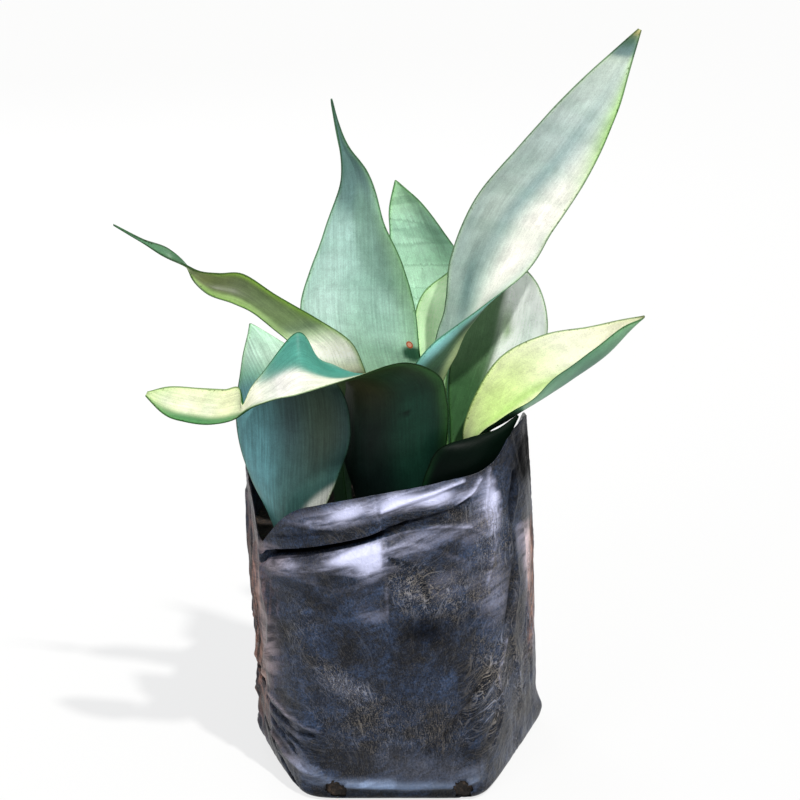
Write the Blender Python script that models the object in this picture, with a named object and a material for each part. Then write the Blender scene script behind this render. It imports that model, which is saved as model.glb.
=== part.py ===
"""A young snake plant with broad silvery leaves, in the black film grow bag that is its pot.

Millimetres in the tables, metres in the scene. X is to the viewer's right, Y away from the
viewer, Z up. The origin is the middle of the bag's base.
"""

import math

import bpy
import numpy as np

MM = 0.001

# Bag, sizes in mm
BASE_CORNERS = ((-54, -81), (47, -81), (85, 11), (50, 75), (-50, 75), (-83, -8))
TOP_HALF_WIDTH = 78.0
TOP_HALF_DEPTH = 71.0
TOP_SQUARENESS = 2.9
FULL_HEIGHT = 176.0
BASE_CENTRE = (2.0, -1.0)
TOP_CENTRE = (-7.5, -1.0)
FILM = 0.9
BASE_FILM = 1.1
FOOT_ROUND = 5.0
TUCK_DEPTH = 6.0
EAR_REACH = 4.0
DRAIN_PLACES = (-35, 35)
DRAIN_HEIGHT = 7.5
DRAIN_RADIUS = 5.5
AROUND = 60

# Rows of the film: levels in mm up to the soil, then shares of the height up to the tuck and
# from the tuck to the rim
LEVELS = (0, 2, 5, 11, 19, 38, 62, 88, 112, 130)
BELOW_TUCK = (0.45, 0.8, 1.0)
ABOVE_TUCK = (0.12, 0.3, 0.55, 0.8, 1.0)

# Height of the bag's rim in mm at angles round it: 0 is right, 270 is the front
RIM = (
    (0, 200), (22, 180), (45, 163), (90, 160), (140, 162), (180, 171), (200, 170), (209, 160),
    (215, 143), (219.5, 150), (226, 160.5), (232, 167.5), (244, 174), (256, 178), (270, 181),
    (285, 184), (300, 187.5), (309, 189.5), (316, 194.5), (323, 203.5), (332, 209), (342, 207.5),
    (351, 203.5),
)

# Height of the fold under the turned top band, at angles across the front
TUCK = ((205, 138), (215, 139), (223, 144), (241, 151), (263, 159), (278, 166), (300, 168))

# Soil, sizes in mm
SOIL_TOP = 130.0
SOIL_GAP = 0.4
HOLE_GAP = 0.35

# Leaf body, sizes in mm
RIB_THICK = 3.2
MARGIN_THICK = 1.0
ALONG = 26
ACROSS = 6

# Each row crosses a leaf from one margin to the other: two points in mm, then how deep the
# channel between them is. Rows run from the root to the tip. The channel sinks towards the
# leaf's back, so a row that turns over along the leaf is a twist.
LEAVES = {
    "leaf_a": (
        ((8, -16, 112), (10, 10, 112), 9),
        ((9, -20, 160), (12, 6, 160), 10),
        ((6, -24, 233), (18, 2, 227), 13),
        ((16, -20, 245), (20, 8, 243), 14),
        ((27, -16, 253), (24, 10, 255), 12),
        ((43, -12, 264), (25, 10, 262), 10),
        ((67, 0, 279), (27, 8, 284), 9),
        ((83, 6, 302), (38, 8, 315), 8),
        ((103, 10, 334), (64, 10, 349), 7),
        ((117, 14, 368), (92, 13, 379), 5),
        ((124, 17, 394), (111, 17, 396), 2),
        ((128, 20, 408), (126, 20, 409), 0),
    ),
    "leaf_b": (
        ((46, -2, 112), (30, 14, 112), 5),
        ((53, 4, 191), (28, 8, 189), 6),
        ((70, 8, 217), (27, 12, 212), 8),
        ((82, 12, 241), (31, 16, 237), 9),
        ((80, 14, 260), (39, 20, 258), 7),
        ((74, 18, 272), (51, 22, 272), 4),
        ((65, 22, 281), (63, 22, 281), 0),
    ),
    "leaf_c": (
        ((22, -26, 112), (38, -10, 112), 5),
        ((26, -27, 160), (42, -9, 160), 6),
        ((43, -22, 194), (35, -4, 192), 6),
        ((54, -26, 208), (43, -2, 214), 16),
        ((69, -30, 219), (55, 0, 232), 21),
        ((86, -30, 233), (80, 2, 245), 20),
        ((105, -26, 246), (104, 0, 250), 13),
        ((121, -18, 256), (121, -6, 256), 6),
        ((132, -13, 259), (132, -12, 260), 0),
    ),
    "leaf_d": (
        ((16, -57, 112), (42, -50, 112), 4),
        ((14, -60, 189), (40, -54, 175), 4),
        ((21, -58, 201), (52, -48, 189), 4),
        ((37, -50, 204), (59, -40, 199), 3),
        ((52, -42, 206), (61, -35, 204), 2),
        ((63, -32, 210), (64, -32, 209), 0),
    ),
    "leaf_e": (
        ((-18, -32, 112), (10, -38, 112), 6),
        ((-24, -34, 160), (20, -42, 160), 8),
        ((-31, -34, 188), (25, -46, 199), 9),
        ((-31, -36, 213), (25, -52, 225), 9),
        ((-29, -40, 230), (20, -60, 243), 8),
        ((-32, -46, 241), (4, -70, 253), 6),
        ((-42, -54, 250), (-25, -84, 249), 5),
        ((-53, -60, 266), (-50, -94, 244), 4),
        ((-71, -66, 246), (-68, -92, 239), 3),
        ((-85, -66, 238), (-94, -88, 225), 4),
        ((-106, -64, 237), (-113, -80, 224), 3),
        ((-122, -62, 238), (-125, -72, 227), 2),
        ((-132, -64, 233), (-133, -66, 231), 0),
    ),
    "leaf_f": (
        ((-26, 6, 112), (-26, -18, 112), 6),
        ((-27, 8, 165), (-30, -22, 165), 8),
        ((-18, 4, 214), (-38, -24, 210), 9),
        ((-20, 2, 226), (-50, -28, 233), 9),
        ((-27, -2, 242), (-57, -28, 248), 8),
        ((-45, -8, 257), (-67, -28, 257), 6),
        ((-67, -12, 272), (-80, -26, 267), 4),
        ((-84, -14, 284), (-89, -26, 271), 4),
        ((-97, -16, 285), (-103, -24, 276), 3),
        ((-107, -19, 287), (-111, -20, 283), 1),
        ((-115, -24, 292), (-114, -17, 290), 0),
        ((-124, -22, 295), (-122, -19, 299), 0),
        ((-137, -20, 303), (-136, -20, 305), 0),
        ((-151, -20, 312), (-151, -20, 313), 0),
    ),
    "leaf_h": (
        ((-62, -36, 112), (-38, -44, 112), 5),
        ((-72, -41, 157), (-41, -49, 160), 7),
        ((-81, -45, 180), (-33, -49, 181), 9),
        ((-87, -48, 210), (-26, -46, 207), 10),
        ((-86, -46, 230), (-32, -42, 229), 9),
        ((-83, -44, 247), (-50, -40, 246), 6),
        ((-80, -43, 260), (-66, -41, 257), 3),
        ((-79, -42, 265), (-78, -42, 265), 0),
    ),
    "leaf_j": (
        ((16, 14, 112), (-10, 14, 112), 6),
        ((20, 12, 170), (-18, 12, 170), 6),
        ((11, 10, 232), (-52, 8, 235), 8),
        ((8, 12, 258), (-55, 10, 259), 8),
        ((2, 13, 280), (-49, 12, 280), 7),
        ((-8, 14, 303), (-40, 13, 304), 6),
        ((-18, 15, 334), (-32, 14, 330), 4),
        ((-27, 15, 346), (-32, 12, 345), 3),
        ((-33, 14, 361), (-35, 12, 363), 1),
        ((-36, 12, 373), (-37, 12, 373), 0),
    ),
    "leaf_k": (
        ((36, 38, 112), (12, 42, 112), 6),
        ((45, 46, 238), (0, 50, 237), 8),
        ((40, 51, 264), (-5, 55, 263), 8),
        ((26, 55, 287), (-6, 58, 287), 6),
        ((11, 59, 306), (-6, 60, 303), 3),
        ((-2, 62, 317), (-3, 62, 317), 0),
    ),
    "leaf_l": (
        ((34, 22, 112), (14, 24, 112), 4),
        ((28, 19, 227), (10, 22, 229), 4),
        ((31, 17, 243), (8, 22, 248), 5),
        ((34, 17, 262), (14, 22, 264), 4),
        ((39, 20, 275), (27, 22, 275), 2),
        ((36, 22, 283), (35, 22, 283), 0),
    ),
}

LEAF_COLOURS = {
    "leaf_a": (0.42, 0.55, 0.45),
    "leaf_b": (0.30, 0.44, 0.30),
    "leaf_c": (0.55, 0.68, 0.28),
    "leaf_d": (0.02, 0.07, 0.03),
    "leaf_e": (0.16, 0.34, 0.24),
    "leaf_f": (0.34, 0.42, 0.22),
    "leaf_h": (0.16, 0.32, 0.26),
    "leaf_j": (0.32, 0.53, 0.42),
    "leaf_k": (0.32, 0.55, 0.38),
    "leaf_l": (0.34, 0.58, 0.32),
}


# Shared helpers


def clear_scene():
    """Remove what a new Blender scene starts with."""
    for obj in list(bpy.data.objects):
        bpy.data.objects.remove(obj, do_unlink=True)


def material(name, colour, roughness):
    """A Principled material of one colour."""
    made = bpy.data.materials.new(name)
    made.use_nodes = True
    shader = made.node_tree.nodes["Principled BSDF"]
    shader.inputs["Base Color"].default_value = (*colour, 1.0)
    shader.inputs["Roughness"].default_value = roughness
    return made


def mesh_object(name, points, faces, shade):
    """A named object at the origin, from points in mm and lists of corners."""
    mesh = bpy.data.meshes.new(name)
    mesh.from_pydata((np.asarray(points) * MM).tolist(), [], faces)
    mesh.validate()
    obj = bpy.data.objects.new(name, mesh)
    bpy.context.scene.collection.objects.link(obj)
    if shade is not None:
        mesh.materials.append(shade)
    return obj


def unit(vectors):
    """Each vector at length one."""
    return vectors / np.maximum(np.linalg.norm(vectors, axis=-1, keepdims=True), 1e-9)


def smooth_through(knots, values, at):
    """A smooth curve through the values at the knots, read at other places.

    Between two knots it is the cubic that has the values and the slopes at both. The slope at
    a knot is that of the parabola through it and its two neighbours.
    """
    gaps = np.diff(knots)[:, None]
    steps = np.diff(values, axis=0) / gaps
    slopes = np.empty_like(values)
    slopes[1:-1] = (gaps[1:] * steps[:-1] + gaps[:-1] * steps[1:]) / (gaps[1:] + gaps[:-1])
    slopes[0] = steps[0]
    slopes[-1] = steps[-1]
    span = np.clip(np.searchsorted(knots, at, side="right") - 1, 0, len(gaps) - 1)
    gap = gaps[span]
    part = (at - knots[span])[:, None] / gap
    first, last = values[span], values[span + 1]
    start, end = slopes[span] * gap, slopes[span + 1] * gap
    return (
        first * (2 * part**3 - 3 * part**2 + 1)
        + start * (part**3 - 2 * part**2 + part)
        + last * (3 * part**2 - 2 * part**3)
        + end * (part**3 - part**2)
    )


# Leaves


def leaf_middle(rows, along, across):
    """Points half way through a leaf's thickness, in rows from the root to the tip.

    Each margin is a smooth curve through its points. A row is the parabola that joins the
    margins and sinks by the channel's depth half way, towards the leaf's back.
    """
    left = np.array([row[0] for row in rows], float)
    right = np.array([row[1] for row in rows], float)
    depth = np.array([[row[2]] for row in rows], float)
    centre = (left + right) / 2
    knots = np.concatenate([[0], np.cumsum(np.linalg.norm(np.diff(centre, axis=0), axis=1))])
    at = np.linspace(0, knots[-1], along + 1)
    curves = smooth_through(knots, np.hstack([left, right, depth]), at)
    left, right, depth = curves[:, :3], curves[:, 3:6], curves[:, 6:]
    ahead = unit(np.gradient((left + right) / 2, at, axis=0))
    back = unit(np.cross(right - left, ahead))
    share = np.linspace(0, 1, across + 1)[None, :, None]
    chord = left[:, None] * (1 - share) + right[:, None] * share
    return chord + back[:, None] * depth[:, None] * 4 * share * (1 - share)


def leaf_skins(rows, grow=0.0):
    """The leaf's back skin and front skin, as two grids of points.

    The thickness falls from the middle of a row to its margins and along the leaf to the tip.
    """
    middle = leaf_middle(rows, ALONG, ACROSS)
    down = np.gradient(middle, axis=0)
    over = np.gradient(middle, axis=1)
    out = unit(np.cross(over, down))
    share = np.linspace(-1, 1, ACROSS + 1)[None, :, None]
    taper = np.linspace(1, 0.35, ALONG + 1)[:, None, None]
    thick = MARGIN_THICK + (RIB_THICK * taper - MARGIN_THICK).clip(0.1) * (1 - share**2)
    away = out * (thick / 2 + grow)
    side = unit(over) * share * grow
    return middle + away + side, middle - away + side


def skins_to_body(back, front):
    """One closed body from two skins, with each square cut the same way on both."""
    rows, columns = back.shape[:2]
    index = np.arange(rows * columns).reshape(rows, columns)
    other = index + rows * columns
    faces = []
    for i in range(rows - 1):
        for j in range(columns - 1):
            a, b, c, d = index[i, j], index[i, j + 1], index[i + 1, j + 1], index[i + 1, j]
            ahead = np.linalg.norm(back[i, j] - back[i + 1, j + 1])
            aside = np.linalg.norm(back[i, j + 1] - back[i + 1, j])
            halves = ((a, b, c), (a, c, d)) if ahead <= aside else ((a, b, d), (b, c, d))
            for half in halves:
                faces.append(tuple(int(k) for k in half))
                faces.append(tuple(int(k) + rows * columns for k in reversed(half)))
    edge = [index[i, 0] for i in range(rows)]
    edge += [index[-1, j] for j in range(1, columns)]
    edge += [index[i, -1] for i in range(rows - 2, -1, -1)]
    edge += [index[0, j] for j in range(columns - 2, 0, -1)]
    for k, here in enumerate(edge):
        there = edge[(k + 1) % len(edge)]
        faces.append((int(here), int(there), int(there) + rows * columns))
        faces.append((int(here), int(there) + rows * columns, int(here) + rows * columns))
    points = np.concatenate([back.reshape(-1, 3), front.reshape(-1, 3)])
    return points, faces


def add_leaf(name):
    """One leaf as a closed body."""
    points, faces = skins_to_body(*leaf_skins(LEAVES[name]))
    shade = material(name.replace("_", " ") + " living leaf", LEAF_COLOURS[name], 0.45)
    return mesh_object(name, points, faces, shade)


# Bag


def bump(angle, centre, width):
    """One at the centre angle, falling smoothly to nothing a few widths away. Degrees."""
    off = (angle - centre + 180) % 360 - 180
    return np.exp(-((off / width) ** 2))


def rim_height(angle):
    """The rim's height at each angle, along a smooth closed curve."""
    table = np.array(RIM, float)
    before, after = table[-3:] - [360, 0], table[:3] + [360, 0]
    table = np.concatenate([before, table, after])
    return smooth_through(table[:, 0], table[:, 1:], angle)[:, 0]


def tuck_height(angle):
    """The height of the fold under the top band, always below the rim."""
    table = np.array(TUCK, float)
    return np.minimum(np.interp(angle, table[:, 0], table[:, 1]), rim_height(angle) - 6)


def base_radius(turn):
    """How far the rounded six-sided base reaches at each angle from its centre.

    Each side's straight line gives a distance. A high power mean of their inverses follows the
    nearest side and rounds the corners.
    """
    corners = np.array(BASE_CORNERS, float) - BASE_CENTRE
    sides = np.roll(corners, -1, axis=0) - corners
    out = unit(np.stack([sides[:, 1], -sides[:, 0]], axis=1))
    far = (out * corners).sum(axis=1)
    facing = out[:, 0, None, None] * np.cos(turn) + out[:, 1, None, None] * np.sin(turn)
    return (np.clip(facing / far[:, None, None], 0, None) ** 14).sum(axis=0) ** (-1 / 14)


def bag_radius(angle, height, tuck):
    """How far the film stands from the bag's axis.

    The plan passes from the six-sided base to a rounded square. Folds are added to it: the
    tuck and the fullness under it at the front, two ears at the bottom, and a few creases.
    """
    turn = np.radians(angle) + 0 * height
    rise = np.clip(height / FULL_HEIGHT, 0, 1.15)
    top = (
        np.abs(np.cos(turn) / TOP_HALF_WIDTH) ** TOP_SQUARENESS
        + np.abs(np.sin(turn) / (TOP_HALF_DEPTH + 6 * (1 - rise))) ** TOP_SQUARENESS
    ) ** (-1 / TOP_SQUARENESS)
    share = np.exp(-((height / 55) ** 1.5))
    plain = base_radius(turn) * share + (top + 4 * rise * (1 - rise)) * (1 - share)
    front = bump(angle, 240, 30)
    groove = -TUCK_DEPTH * front * np.exp(-(((height - tuck) / 3.0) ** 2))
    full = 3.0 * front * np.exp(-(((height - tuck + 16) / 10) ** 2))
    low = np.exp(-(((height - 10) / 8) ** 2))
    ears = EAR_REACH * low * (bump(angle, 185, 6) + bump(angle, 8, 6))
    crease = -1.6 * bump(angle, 266, 3.5) + 2.2 * bump(angle, 215, 5)
    crease = crease + 1.2 * np.sin(np.radians(angle * 4 + height * 0.9))
    foot = FOOT_ROUND * (1 - np.sqrt(1 - (1 - np.clip(height / FOOT_ROUND, 0, 1)) ** 2))
    return plain + groove + full + ears + crease * np.clip(height / 30, 0, 1) - foot


def bag_wall(around, inset, floor):
    """Points on the film, row by row from the base to the rim.

    Rows are level up to the soil's top, and then share out the height to the tuck and on to
    the rim. The inset moves them inwards along the surface. The floor is the lowest height.
    """
    angle = np.arange(around) * 360.0 / around
    rim, tuck = rim_height(angle), tuck_height(angle)
    heights = [level + 0 * angle for level in LEVELS]
    heights += [SOIL_TOP + share * (tuck - SOIL_TOP) for share in BELOW_TUCK]
    heights += [tuck + share * (rim - tuck) for share in ABOVE_TUCK]
    heights = np.array(heights)
    radius = bag_radius(angle[None], heights, tuck[None])
    turn = np.radians(angle)[None] + 0 * heights
    rise = heights / FULL_HEIGHT
    wall = np.stack(
        [
            BASE_CENTRE[0] + (TOP_CENTRE[0] - BASE_CENTRE[0]) * rise + radius * np.cos(turn),
            BASE_CENTRE[1] + (TOP_CENTRE[1] - BASE_CENTRE[1]) * rise + radius * np.sin(turn),
            heights,
        ],
        axis=-1,
    )
    if inset:
        loop = np.concatenate([wall[:, -1:], wall, wall[:, :1]], axis=1)
        over = (loop[:, 2:] - loop[:, :-2]) / 2
        up = np.gradient(wall, axis=0)
        wall = wall - inset * unit(np.cross(over, up))
        wall[..., 2] = np.maximum(wall[..., 2], floor)
    return wall


def ring_faces(rows, around, start, flip):
    """Triangles between rings of points that follow each other."""
    faces = []
    for i in range(rows - 1):
        for j in range(around):
            a = start + i * around + j
            b = start + i * around + (j + 1) % around
            c, d = b + around, a + around
            pair = ((a, b, c), (a, c, d))
            faces += [tuple(reversed(face)) for face in pair] if flip else list(pair)
    return faces


def fan(centre, start, around, flip):
    """Triangles from one point to a ring."""
    faces = [(centre, start + (j + 1) % around, start + j) for j in range(around)]
    return [tuple(reversed(face)) for face in faces] if flip else faces


def add_bag():
    """The film bag: an outer and an inner wall joined at the rim, and two drainage holes."""
    outer = bag_wall(AROUND, 0.0, 0.0)
    inner = bag_wall(AROUND, FILM, BASE_FILM)
    inner[0, :, 2] = BASE_FILM
    inner[-1, :, 2] = outer[-1, :, 2]
    rows = len(outer)
    points = [outer.reshape(-1, 3), inner.reshape(-1, 3)]
    points += [[[*BASE_CENTRE, 0.0]], [[*BASE_CENTRE, BASE_FILM]]]
    start = rows * AROUND
    faces = ring_faces(rows, AROUND, 0, False) + ring_faces(rows, AROUND, start, True)
    for j in range(AROUND):
        a, b = (rows - 1) * AROUND + j, (rows - 1) * AROUND + (j + 1) % AROUND
        faces += [(a, b, b + start), (a, b + start, a + start)]
    faces += fan(2 * start, 0, AROUND, False) + fan(2 * start + 1, start, AROUND, True)
    bag = mesh_object(
        "grow_bag",
        np.concatenate(points),
        faces,
        material("black polyethylene film", (0.012, 0.014, 0.022), 0.32),
    )
    for place in DRAIN_PLACES:
        bpy.ops.mesh.primitive_cylinder_add(
            vertices=12,
            radius=DRAIN_RADIUS * MM,
            depth=30 * MM,
            location=(place * MM, -80 * MM, DRAIN_HEIGHT * MM),
            rotation=(math.pi / 2, 0, 0),
        )
        cut(bag, bpy.context.object)
    return bag


# Soil


def add_soil():
    """The potting soil that fills the bag, with a plain hole for each leaf."""
    wall = bag_wall(AROUND, FILM + SOIL_GAP, BASE_FILM + SOIL_GAP)
    wall[0, :, 2] = BASE_FILM + SOIL_GAP
    rings = list(wall[: len(LEVELS)])
    top = rings[-1]
    centre = np.array([*BASE_CENTRE, SOIL_TOP])
    for part in (0.8, 0.5, 0.2):
        ring = centre + (top - centre) * part
        turn = np.arange(AROUND) * 2 * math.pi / AROUND
        ring[:, 2] = SOIL_TOP + 1.6 * np.sin(3 * turn + 9 * part) + 1.1 * np.cos(7 * turn)
        rings.append(ring)
    points = np.concatenate([*rings, [centre], [[*BASE_CENTRE, BASE_FILM + SOIL_GAP]]])
    last = (len(rings) - 1) * AROUND
    faces = ring_faces(len(rings), AROUND, 0, False)
    faces += fan(len(points) - 2, last, AROUND, True)
    faces += fan(len(points) - 1, 0, AROUND, False)
    shade = material("dark potting soil", (0.06, 0.04, 0.028), 0.95)
    soil = mesh_object("soil", points, faces, shade)
    for name, rows in LEAVES.items():
        back, front = leaf_skins(rows, HOLE_GAP)
        reach = int(np.argmax(front[:, :, 2].min(axis=1) > SOIL_TOP + 8)) + 1
        back, front = back[:reach].copy(), front[:reach].copy()
        back[0, :, 2] -= HOLE_GAP
        front[0, :, 2] -= HOLE_GAP
        cutter = mesh_object("hole_" + name, *skins_to_body(back, front), None)
        cut(soil, cutter)
    return soil


def cut(target, cutter):
    """Take the cutter out of the target and drop the cutter."""
    cutter.hide_render = True
    cutter.display_type = "WIRE"
    step = target.modifiers.new("cut " + cutter.name, "BOOLEAN")
    step.operation = "DIFFERENCE"
    step.solver = "EXACT"
    step.object = cutter
    graph = bpy.context.evaluated_depsgraph_get()
    done = bpy.data.meshes.new_from_object(target.evaluated_get(graph))
    target.modifiers.clear()
    target.data = done
    bpy.data.objects.remove(cutter, do_unlink=True)


clear_scene()
for leaf in LEAVES:
    add_leaf(leaf)
add_bag()
add_soil()
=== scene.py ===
# %% [markdown]
# # A snake plant in a black film grow bag
# The object is a young snake plant with broad, silvery, twisting leaves. Its pot is a
# nursery grow bag: a soft sack of black film with a folded rim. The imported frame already
# holds a plain solid for each leaf, for the soil and for the bag. This lesson replaces each
# of them with a finer piece in the same place, and gives each the finish of the real thing.

import math

import bpy
import numpy as np
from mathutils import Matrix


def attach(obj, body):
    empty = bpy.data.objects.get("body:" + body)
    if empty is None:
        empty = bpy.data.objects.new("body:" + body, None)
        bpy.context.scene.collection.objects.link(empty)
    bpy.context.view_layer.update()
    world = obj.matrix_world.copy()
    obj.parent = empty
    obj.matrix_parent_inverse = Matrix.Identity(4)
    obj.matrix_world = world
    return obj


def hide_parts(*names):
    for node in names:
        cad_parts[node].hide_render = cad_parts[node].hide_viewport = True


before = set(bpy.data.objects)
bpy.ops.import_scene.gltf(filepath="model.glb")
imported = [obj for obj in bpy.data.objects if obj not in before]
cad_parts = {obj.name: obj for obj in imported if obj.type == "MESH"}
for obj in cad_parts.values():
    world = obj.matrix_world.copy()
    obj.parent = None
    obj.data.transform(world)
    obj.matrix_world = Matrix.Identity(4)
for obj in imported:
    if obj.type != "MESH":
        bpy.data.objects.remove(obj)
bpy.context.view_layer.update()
print("nodes:", ", ".join(sorted(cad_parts)))

# %% [markdown]
# ## The view
# The picture was taken from the front and about 20 degrees above. A lens of 85 mm from
# about a metre away keeps the bag's sides nearly upright, as in the photograph. The camera
# aims at the middle of the plant's height.

# %% Camera
VIEW_TILT = math.radians(20.0)
VIEW_DISTANCE = 1.05
VIEW_AIM = np.array([0.0, 0.0, 0.207])
VIEW_LENS = 85.0
SENSOR_WIDTH = 36.0


def place_looking(obj, position, target):
    """Put an object at a position, turned so that its own -Z points at the target."""
    away = np.asarray(target, float) - np.asarray(position, float)
    flat = math.hypot(away[0], away[1])
    obj.location = position
    obj.rotation_euler = (math.atan2(flat, -away[2]), 0.0, math.atan2(-away[0], away[1]))
    bpy.context.scene.collection.objects.link(obj)


lens = bpy.data.cameras.new("view_lens")
lens.lens = VIEW_LENS
lens.sensor_width = SENSOR_WIDTH
camera = bpy.data.objects.new("view_camera", lens)
eye = VIEW_AIM + VIEW_DISTANCE * np.array([0.0, -math.cos(VIEW_TILT), math.sin(VIEW_TILT)])
place_looking(camera, eye, VIEW_AIM)
bpy.context.scene.camera = camera
print("camera at", np.round(eye, 3), "m")

# %% [markdown]
# ## Light
# Soft light could come from the sky alone, but then no leaf would stand out from the next.
# One key light stands high at the front right, where the shadows under the front leaf say
# that the light came from. It is 2.5 degrees wide, so the shadows have soft borders. Two weak
# softboxes fill the back and the left, and a pale room lights the rest.

# %% Studio
PLANT_MIDDLE = (0.0, 0.0, 0.2)
ROOM_LIGHT = 0.30


def lamp(name, kind, position, strength, tone):
    """A lamp that looks at the plant's middle."""
    data = bpy.data.lights.new(name, kind)
    data.energy = strength
    data.color = tone
    place_looking(bpy.data.objects.new(name, data), position, PLANT_MIDDLE)
    return data


key = lamp("key_light", "SUN", (0.58, -0.74, 1.96), 3.7, (1.0, 0.985, 0.95))
key.angle = math.radians(2.5)
fill = lamp("back_softbox", "AREA", (-0.60, 1.40, 1.10), 7.0, (0.95, 0.97, 1.0))
fill.size = 0.8
front = lamp("front_softbox", "AREA", (-1.10, -1.30, 0.90), 6.0, (0.93, 0.96, 1.0))
front.size = 0.6

world = bpy.data.worlds.new("pale_room")
world.use_nodes = True
world.node_tree.nodes["Background"].inputs["Color"].default_value = (0.93, 0.96, 1.0, 1.0)
world.node_tree.nodes["Background"].inputs["Strength"].default_value = ROOM_LIGHT
bpy.context.scene.world = world
bpy.context.scene.view_settings.view_transform = "Standard"
print("one key light, two weak softboxes and a pale room")

# %% [markdown]
# ## Helpers: colours and nodes
# A colour is written in hex, as it looks on a screen, but a shader works in linear light, so
# one function turns it. Another adds a node with its settings, values and links in one go, so
# that each finish below reads as a list of steps. A Mix node for colours takes its share at
# input 0 and the two colours at 6 and 7, and gives the blend at output 2.

# %% Colour and node helpers
def linear(code):
    """Linear red, green and blue of a hex colour.

    Each sRGB value is a straight line near black and a power of 2.4 above it.
    """
    value = np.array([int(code[k : k + 2], 16) for k in (1, 3, 5)]) / 255.0
    return np.where(value <= 0.04045, value / 12.92, ((value + 0.055) / 1.055) ** 2.4)


def rgba(code):
    """A hex colour as the four linear numbers that a socket takes."""
    return (*linear(code).tolist(), 1.0)


def add_node(tree, kind, links=None, values=None, **settings):
    """Add one shader node with its settings, the values of its inputs and the links to them."""
    node = tree.nodes.new("ShaderNode" + kind)
    for name, setting in settings.items():
        setattr(node, name, setting)
    for name, value in (values or {}).items():
        node.inputs[name].default_value = value
    for name, source in (links or {}).items():
        tree.links.new(source, node.inputs[name])
    return node


def new_finish(name):
    """A material with its Principled shader ready."""
    made = bpy.data.materials.new(name)
    made.use_nodes = True
    return made, made.node_tree, made.node_tree.nodes["Principled BSDF"]


print("#808080 is", round(float(linear("#808080")[0]), 3), "in linear light")

# %% [markdown]
# ## Helpers: meshes
# A leaf could be bent from a plane by hand. Here each piece is worked out as arrays of points
# and faces instead, so that every form comes from named sizes. What a finish has to know of
# each point, such as its place on the leaf in millimetres, is kept on the mesh.

# %% Mesh helpers
def mesh_piece(name, points, faces, finish, smooth=True):
    """An object at the origin, from points in metres and a list of faces."""
    mesh = bpy.data.meshes.new(name)
    mesh.from_pydata(points.reshape(-1, 3), [], faces)
    mesh.polygons.foreach_set("use_smooth", np.full(len(mesh.polygons), smooth))
    mesh.update()
    mesh.materials.append(finish)
    piece = bpy.data.objects.new(name, mesh)
    bpy.context.scene.collection.objects.link(piece)
    return piece


def store(piece, name, kind, values):
    """Keep a value for every point of a piece under a name that a material can read."""
    layer = piece.data.attributes.new(name, kind, "POINT")
    field = {"FLOAT": "value", "FLOAT_VECTOR": "vector", "FLOAT_COLOR": "color"}[kind]
    layer.data.foreach_set(field, np.ascontiguousarray(values, np.float32).ravel())


def grid_quads(rows, columns, wrap=False):
    """Corner numbers of the squares of a grid, whose last column may join the first."""
    index = np.arange(rows * columns).reshape(rows, columns)
    beside = np.roll(index, -1, axis=1) if wrap else index[:, 1:]
    here = index if wrap else index[:, :-1]
    return np.stack([here[:-1], beside[:-1], beside[1:], here[1:]], axis=-1).reshape(-1, 4)


print("3 by 4 points make", len(grid_quads(3, 4)), "squares, or", len(grid_quads(3, 4, True)), "closed")

# %% [markdown]
# ## Helpers: curves and smooth noise
# The margins of a leaf and the rim of the bag are smooth curves through a few measured places.
# Ripples, wrinkles and crumbs are random numbers on a grid, with smooth blends between them.
# The same seed draws the same numbers each time, so the piece never changes.

# %% Curve and noise helpers
NOISE_SIZE = 257


def ruled_noise(x, y, seed, wrap=0):
    """Smooth noise from 0 to 1 on two coordinates whose steps are one apart.

    Random numbers sit on the whole steps. Between them they blend by 3p^2 - 2p^3, so that the
    surface has no crease. A wrap makes the first coordinate come round to its start.
    """
    table = np.random.default_rng(seed).random((NOISE_SIZE, NOISE_SIZE))
    low_x, low_y = np.floor(x).astype(int), np.floor(y).astype(int)
    part_x, part_y = (p * p * (3 - 2 * p) for p in (x - low_x, y - low_y))
    next_x, low_y, next_y = low_x + 1, low_y % NOISE_SIZE, (low_y + 1) % NOISE_SIZE
    if wrap:
        low_x, next_x = low_x % wrap, next_x % wrap
    low_x, next_x = low_x % NOISE_SIZE, next_x % NOISE_SIZE
    near = table[low_x, low_y] * (1 - part_x) + table[next_x, low_y] * part_x
    far = table[low_x, next_y] * (1 - part_x) + table[next_x, next_y] * part_x
    return near * (1 - part_y) + far * part_y


def unit(vectors):
    """Each vector at length one."""
    return vectors / np.maximum(np.linalg.norm(vectors, axis=-1, keepdims=True), 1e-9)


def smooth_through(knots, values, at):
    """A smooth curve through the values at the knots, read at other places.

    Between two knots it is the cubic that has the values and the slopes at both. The slope at
    a knot is that of the parabola through it and its two neighbours.
    """
    gaps = np.diff(knots)[:, None]
    steps = np.diff(values, axis=0) / gaps
    slopes = np.empty_like(values)
    slopes[1:-1] = (gaps[1:] * steps[:-1] + gaps[:-1] * steps[1:]) / (gaps[1:] + gaps[:-1])
    slopes[0] = steps[0]
    slopes[-1] = steps[-1]
    span = np.clip(np.searchsorted(knots, at, side="right") - 1, 0, len(gaps) - 1)
    gap = gaps[span]
    part = (at - knots[span])[:, None] / gap
    first, last = values[span], values[span + 1]
    start, end = slopes[span] * gap, slopes[span + 1] * gap
    return (
        first * (2 * part**3 - 3 * part**2 + 1)
        + start * (part**3 - 2 * part**2 + part)
        + last * (3 * part**2 - 2 * part**3)
        + end * (part**3 - part**2)
    )


print("noise repeats after", NOISE_SIZE, "steps")

# %% [markdown]
# ## The floor
# A plain pale floor catches the soft shadow. A white studio table is lit from inside as well
# as from above, so its shadows stay faint. It is far wider than the picture, so that its edge
# never shows, and it lies a hair below the bag, so that the two never fight for the same place.

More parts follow.
